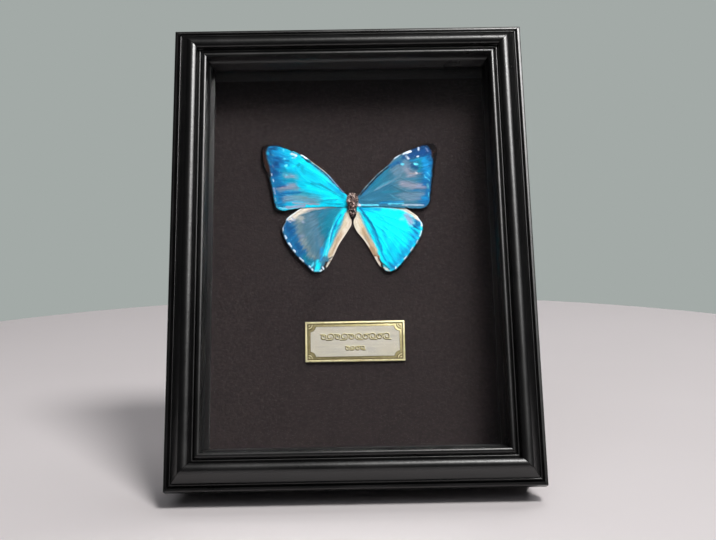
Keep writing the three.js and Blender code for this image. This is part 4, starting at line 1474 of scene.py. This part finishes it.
def body_skin():
    """The lathed head and thorax, a little lumpy."""
    line = curve_through([BEFORE_PROFILE] + BODY_PROFILE + [AFTER_PROFILE], False, PROFILE_STEPS)
    line = line[PROFILE_STEPS:-PROFILE_STEPS]
    pen = Pen("insect_body", (0, line[0][1]))
    pen.line(*((max(out, 0), up) for out, up in line[1:]))
    bpy.ops.mesh.select_all(action="SELECT")
    bpy.ops.mesh.spin(steps=36, angle=2 * math.pi, center=(0, 0, 0), axis=(0, 0, 1))
    body = pen.lift()
    face_outwards(body)
    for vertex in body.data.vertices:
        place = vertex.co / MM
        clump = sum(noise.noise(place * pace) * height for pace, height in LUMPS)
        away = Vector((place.x, place.y, 0)).normalized()
        vertex.co += away * clump * MM
    smooth_all(body)
    paint_points(body, [SKIN_TINT] * len(body.data.vertices))
    return body


def where(place):
    """A place to sort by, rounded so that it is the same each time."""
    return [round(value, 6) for value in place]


def hair_places(root, way, length, thick):
    """Two rings of three corners and a tip, along a hair that droops towards its end."""
    droop = Vector(HAIR_DROOP) * length
    side = way.orthogonal().normalized()
    lift = way.cross(side)
    corners = []
    for share, width in ((0, 1), HAIR_MIDDLE):
        spine = root + way * length * share + droop * share * share
        for k in range(3):
            angle = 2 * math.pi * k / 3
            corners.append(spine + (side * math.cos(angle) + lift * math.sin(angle)) * thick * width)
    return corners + [root + way * length + droop]


def hair_faces(first):
    """The faces of the hair whose seven corners start at that number."""
    faces = []
    for k in range(3):
        n = (k + 1) % 3
        faces.append((first + k, first + n, first + 3 + n, first + 3 + k))
        faces.append((first + 3 + k, first + 3 + n, first + 6))
    return faces + [(first + 2, first + 1, first)]


def make_coat(body):
    """Coarse tufts and fine hairs, each a thin cone bent downwards."""
    draw = random.Random(HAIR_SEED)
    corners, faces, tints = [], [], []
    skin = [polygon for polygon in body.data.polygons if polygon.normal.y < BACK_OF_BODY]
    skin.sort(key=lambda polygon: where(polygon.center))
    areas = [polygon.area for polygon in skin]
    for count, thicknesses, lengths, shares in (TUFTS, HAIRS):
        for polygon in draw.choices(skin, areas, k=count):
            spots = sorted((body.data.vertices[i].co / MM for i in polygon.vertices), key=where)
            weights = [draw.random() for _ in spots]
            root = sum((spot * w for spot, w in zip(spots, weights)), Vector()) / sum(weights)
            sweep = Vector([draw.gauss(middle, width) for middle, width in HAIR_SWEEP])
            way = (polygon.normal + sweep).normalized()
            faces += hair_faces(len(corners))
            corners += hair_places(root, way, draw.uniform(*lengths), draw.uniform(*thicknesses))
            tints += draw.choices(HAIR_TINTS, shares) * HAIR_CORNERS
    mesh = bpy.data.meshes.new("coat")
    mesh.from_pydata([corner * MM for corner in corners], [], faces)
    coat = bpy.data.objects.new("coat", mesh)
    bpy.context.collection.objects.link(coat)
    paint_points(coat, tints)
    return coat


def make_body():
    body = body_skin()
    join_into(body, [make_coat(body)])
    body.scale = (1, BODY_FLATNESS, 1)
    body.location = (SPECIMEN_X * MM, BODY_AXIS_DEPTH * MM, SPECIMEN_HEIGHT * MM)
    fix_place(body)
    lean_back(body)
    cover(body, insect_fur())
    dress(body, "frame", "insect_fur", "body")


# ---------------------------------------------------------------- strut

def make_strut():
    """The easel board, with rounded edges and its foot cut flat for the table."""
    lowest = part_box("strut")[0].z
    half = STRUT_THICKNESS / 2
    turn = STRUT_OPENING - LEAN
    climb = (HINGE_AXIS.z - lowest) / MM
    board = box("strut_board", (-0.5, -half, -1), (0.5, half, 0))
    for vertex in board.data.vertices:
        if vertex.co.z > -0.5 * MM:
            width = STRUT_TOP_WIDTH
            height = -STRUT_TOP_DROP
        else:
            depth = vertex.co.y / MM
            width = STRUT_FOOT_WIDTH
            height = -(climb + depth * math.sin(turn)) / math.cos(turn)
        vertex.co.x *= width
        vertex.co.z = height * MM
    bevel(board, STRUT_ROUNDING)
    smooth(board)
    swing_out(board)
    cover(board, brown_board())
    dress(board, "strut", "brown_board", "strut")


# ---------------------------------------------------------------- rivets

RIVET_RADIUS = 1.7
RIVET_FLATNESS = 0.5
RIVET_SUNK = 0.15
HINGE_HEIGHT = 152
HINGE_PLATE_BACK = 27.9
LEAF_BACK = 2.5
PLATE_RIVETS = [(x, HINGE_HEIGHT + up) for x in (-9.5, 9.5) for up in (7.5, 15.5)]
LEAF_RIVETS = [(0, -9), (0, -19)]


def rivets(name, places, back):
    """Domed heads on a plate's back face, at [x, height]."""
    heads = []
    for x, z in places:
        head = begin(
            "rivet",
            bpy.ops.mesh.primitive_uv_sphere_add,
            segments=28,
            ring_count=14,
            radius=RIVET_RADIUS * MM,
        )
        edit(head, "SELECT")
        bpy.ops.transform.rotate(value=math.pi / 2, orient_axis="X", center_override=(0, 0, 0))
        bpy.ops.mesh.bisect(plane_co=(0, 0, 0), plane_no=(0, -1, 0), use_fill=True, clear_outer=True)
        leave()
        face_outwards(head)
        head.scale = (1, RIVET_FLATNESS, 1)
        head.location = (x * MM, (back - RIVET_SUNK) * MM, z * MM)
        fix_place(head)
        smooth(head, angle=50)
        heads.append(head)
    piece = join_into(heads[0], heads[1:])
    piece.name = name
    cover(piece, nodes["hinge_plate"].data.materials[0])
    return piece


def make_rivets():
    fixed = rivets("hinge_rivets", PLATE_RIVETS, HINGE_PLATE_BACK)
    lean_back(fixed)
    dress(fixed, "frame", "steel")
    moving = rivets("leaf_rivets", LEAF_RIVETS, LEAF_BACK)
    swing_out(moving)
    dress(moving, "strut", "steel")


# ---------------------------------------------------------------- table, lamps and camera

# In metres, as the stage stands in the shared frame
TABLE_RADIUS = 0.45
TABLE_CENTRE = (-0.01, 0.095)
TABLE_THICKNESS = 0.02
TABLE_ROUNDING_MM = 4

# Lamps as (name, degrees around from the front, degrees above, reach, size, power, tint, what
# they show in)
AIM = (0, 0, 0.1)
LAMPS = [
    ("key", 37, 59, 2.6, 0.8, 48, (1, 0.985, 0.96), ("diffuse", "glossy", "transmission")),
    ("sheen", 44, 55, 2.6, 1.4, 80, (1, 0.99, 0.98), ("glossy",)),
    ("fill", -15, 45, 2.0, 1.6, 5, (0.97, 0.98, 1), ("diffuse",)),
    ("rear", 150, 62, 2.0, 1.6, 13, (1, 1, 1), ("diffuse",)),
]
ROOM_LIGHT = (0.03, 0.031, 0.032, 1)
BACKDROP = colour(163, 170, 167)
CAMERA_PLACE = (-0.0018, -0.5522, 0.1671)
CAMERA_TURN = (82.599, 0.889, -0.596)
CAMERA_LENS = 60.335


def make_table():
    table = begin(
        "tabletop",
        bpy.ops.mesh.primitive_cylinder_add,
        vertices=192,
        radius=TABLE_RADIUS,
        depth=TABLE_THICKNESS,
        location=(*TABLE_CENTRE, -TABLE_THICKNESS / 2),
    )
    fix_place(table)
    bevel(table, TABLE_ROUNDING_MM, segments=4)
    smooth(table, angle=40)
    cover(table, pale_tabletop())


def make_lamp(name, around, above, reach, size, power, tint, shown):
    """A round lamp that looks at the middle of the frame."""
    around = math.radians(around)
    above = math.radians(above)
    way = Vector((
        math.sin(around) * math.cos(above),
        -math.cos(around) * math.cos(above),
        math.sin(above),
    ))
    place = Vector(AIM) + way * reach
    lamp = begin(name, bpy.ops.object.light_add, type="AREA", location=place)
    lamp.rotation_euler = way.to_track_quat("Z", "Y").to_euler()
    lamp.data.shape = "DISK"
    lamp.data.size = size
    lamp.data.energy = power
    lamp.data.color = tint
    lamp.visible_diffuse = "diffuse" in shown
    lamp.visible_glossy = "glossy" in shown
    lamp.visible_transmission = "transmission" in shown


def make_room():
    """A dim grey room around the lamps, behind a paler backdrop."""
    world = bpy.data.worlds.new("room")
    bpy.context.scene.world = world
    world.use_nodes = True
    tree = world.node_tree
    seen = tree.nodes.new("ShaderNodeLightPath").outputs["Is Camera Ray"]
    dim = tree.nodes["Background"]
    dim.inputs["Color"].default_value = ROOM_LIGHT
    pale = tree.nodes.new("ShaderNodeBackground")
    pale.inputs["Color"].default_value = BACKDROP
    mixed = tree.nodes.new("ShaderNodeMixShader")
    tree.links.new(seen, mixed.inputs[0])
    tree.links.new(dim.outputs[0], mixed.inputs[1])
    tree.links.new(pale.outputs[0], mixed.inputs[2])
    tree.links.new(mixed.outputs[0], tree.nodes["World Output"].inputs["Surface"])
    bpy.context.scene.view_settings.view_transform = "Standard"


def make_camera():
    turn = [math.radians(angle) for angle in CAMERA_TURN]
    camera = begin("viewer", bpy.ops.object.camera_add, location=CAMERA_PLACE, rotation=turn)
    camera.data.lens = CAMERA_LENS
    camera.data.clip_start = 0.01
    bpy.context.scene.camera = camera


make_camera()
for lamp in LAMPS:
    make_lamp(*lamp)
make_room()
make_table()
make_moulding()
finish_solids()
make_plate()
make_wings()
make_body()
make_strut()
make_rivets()
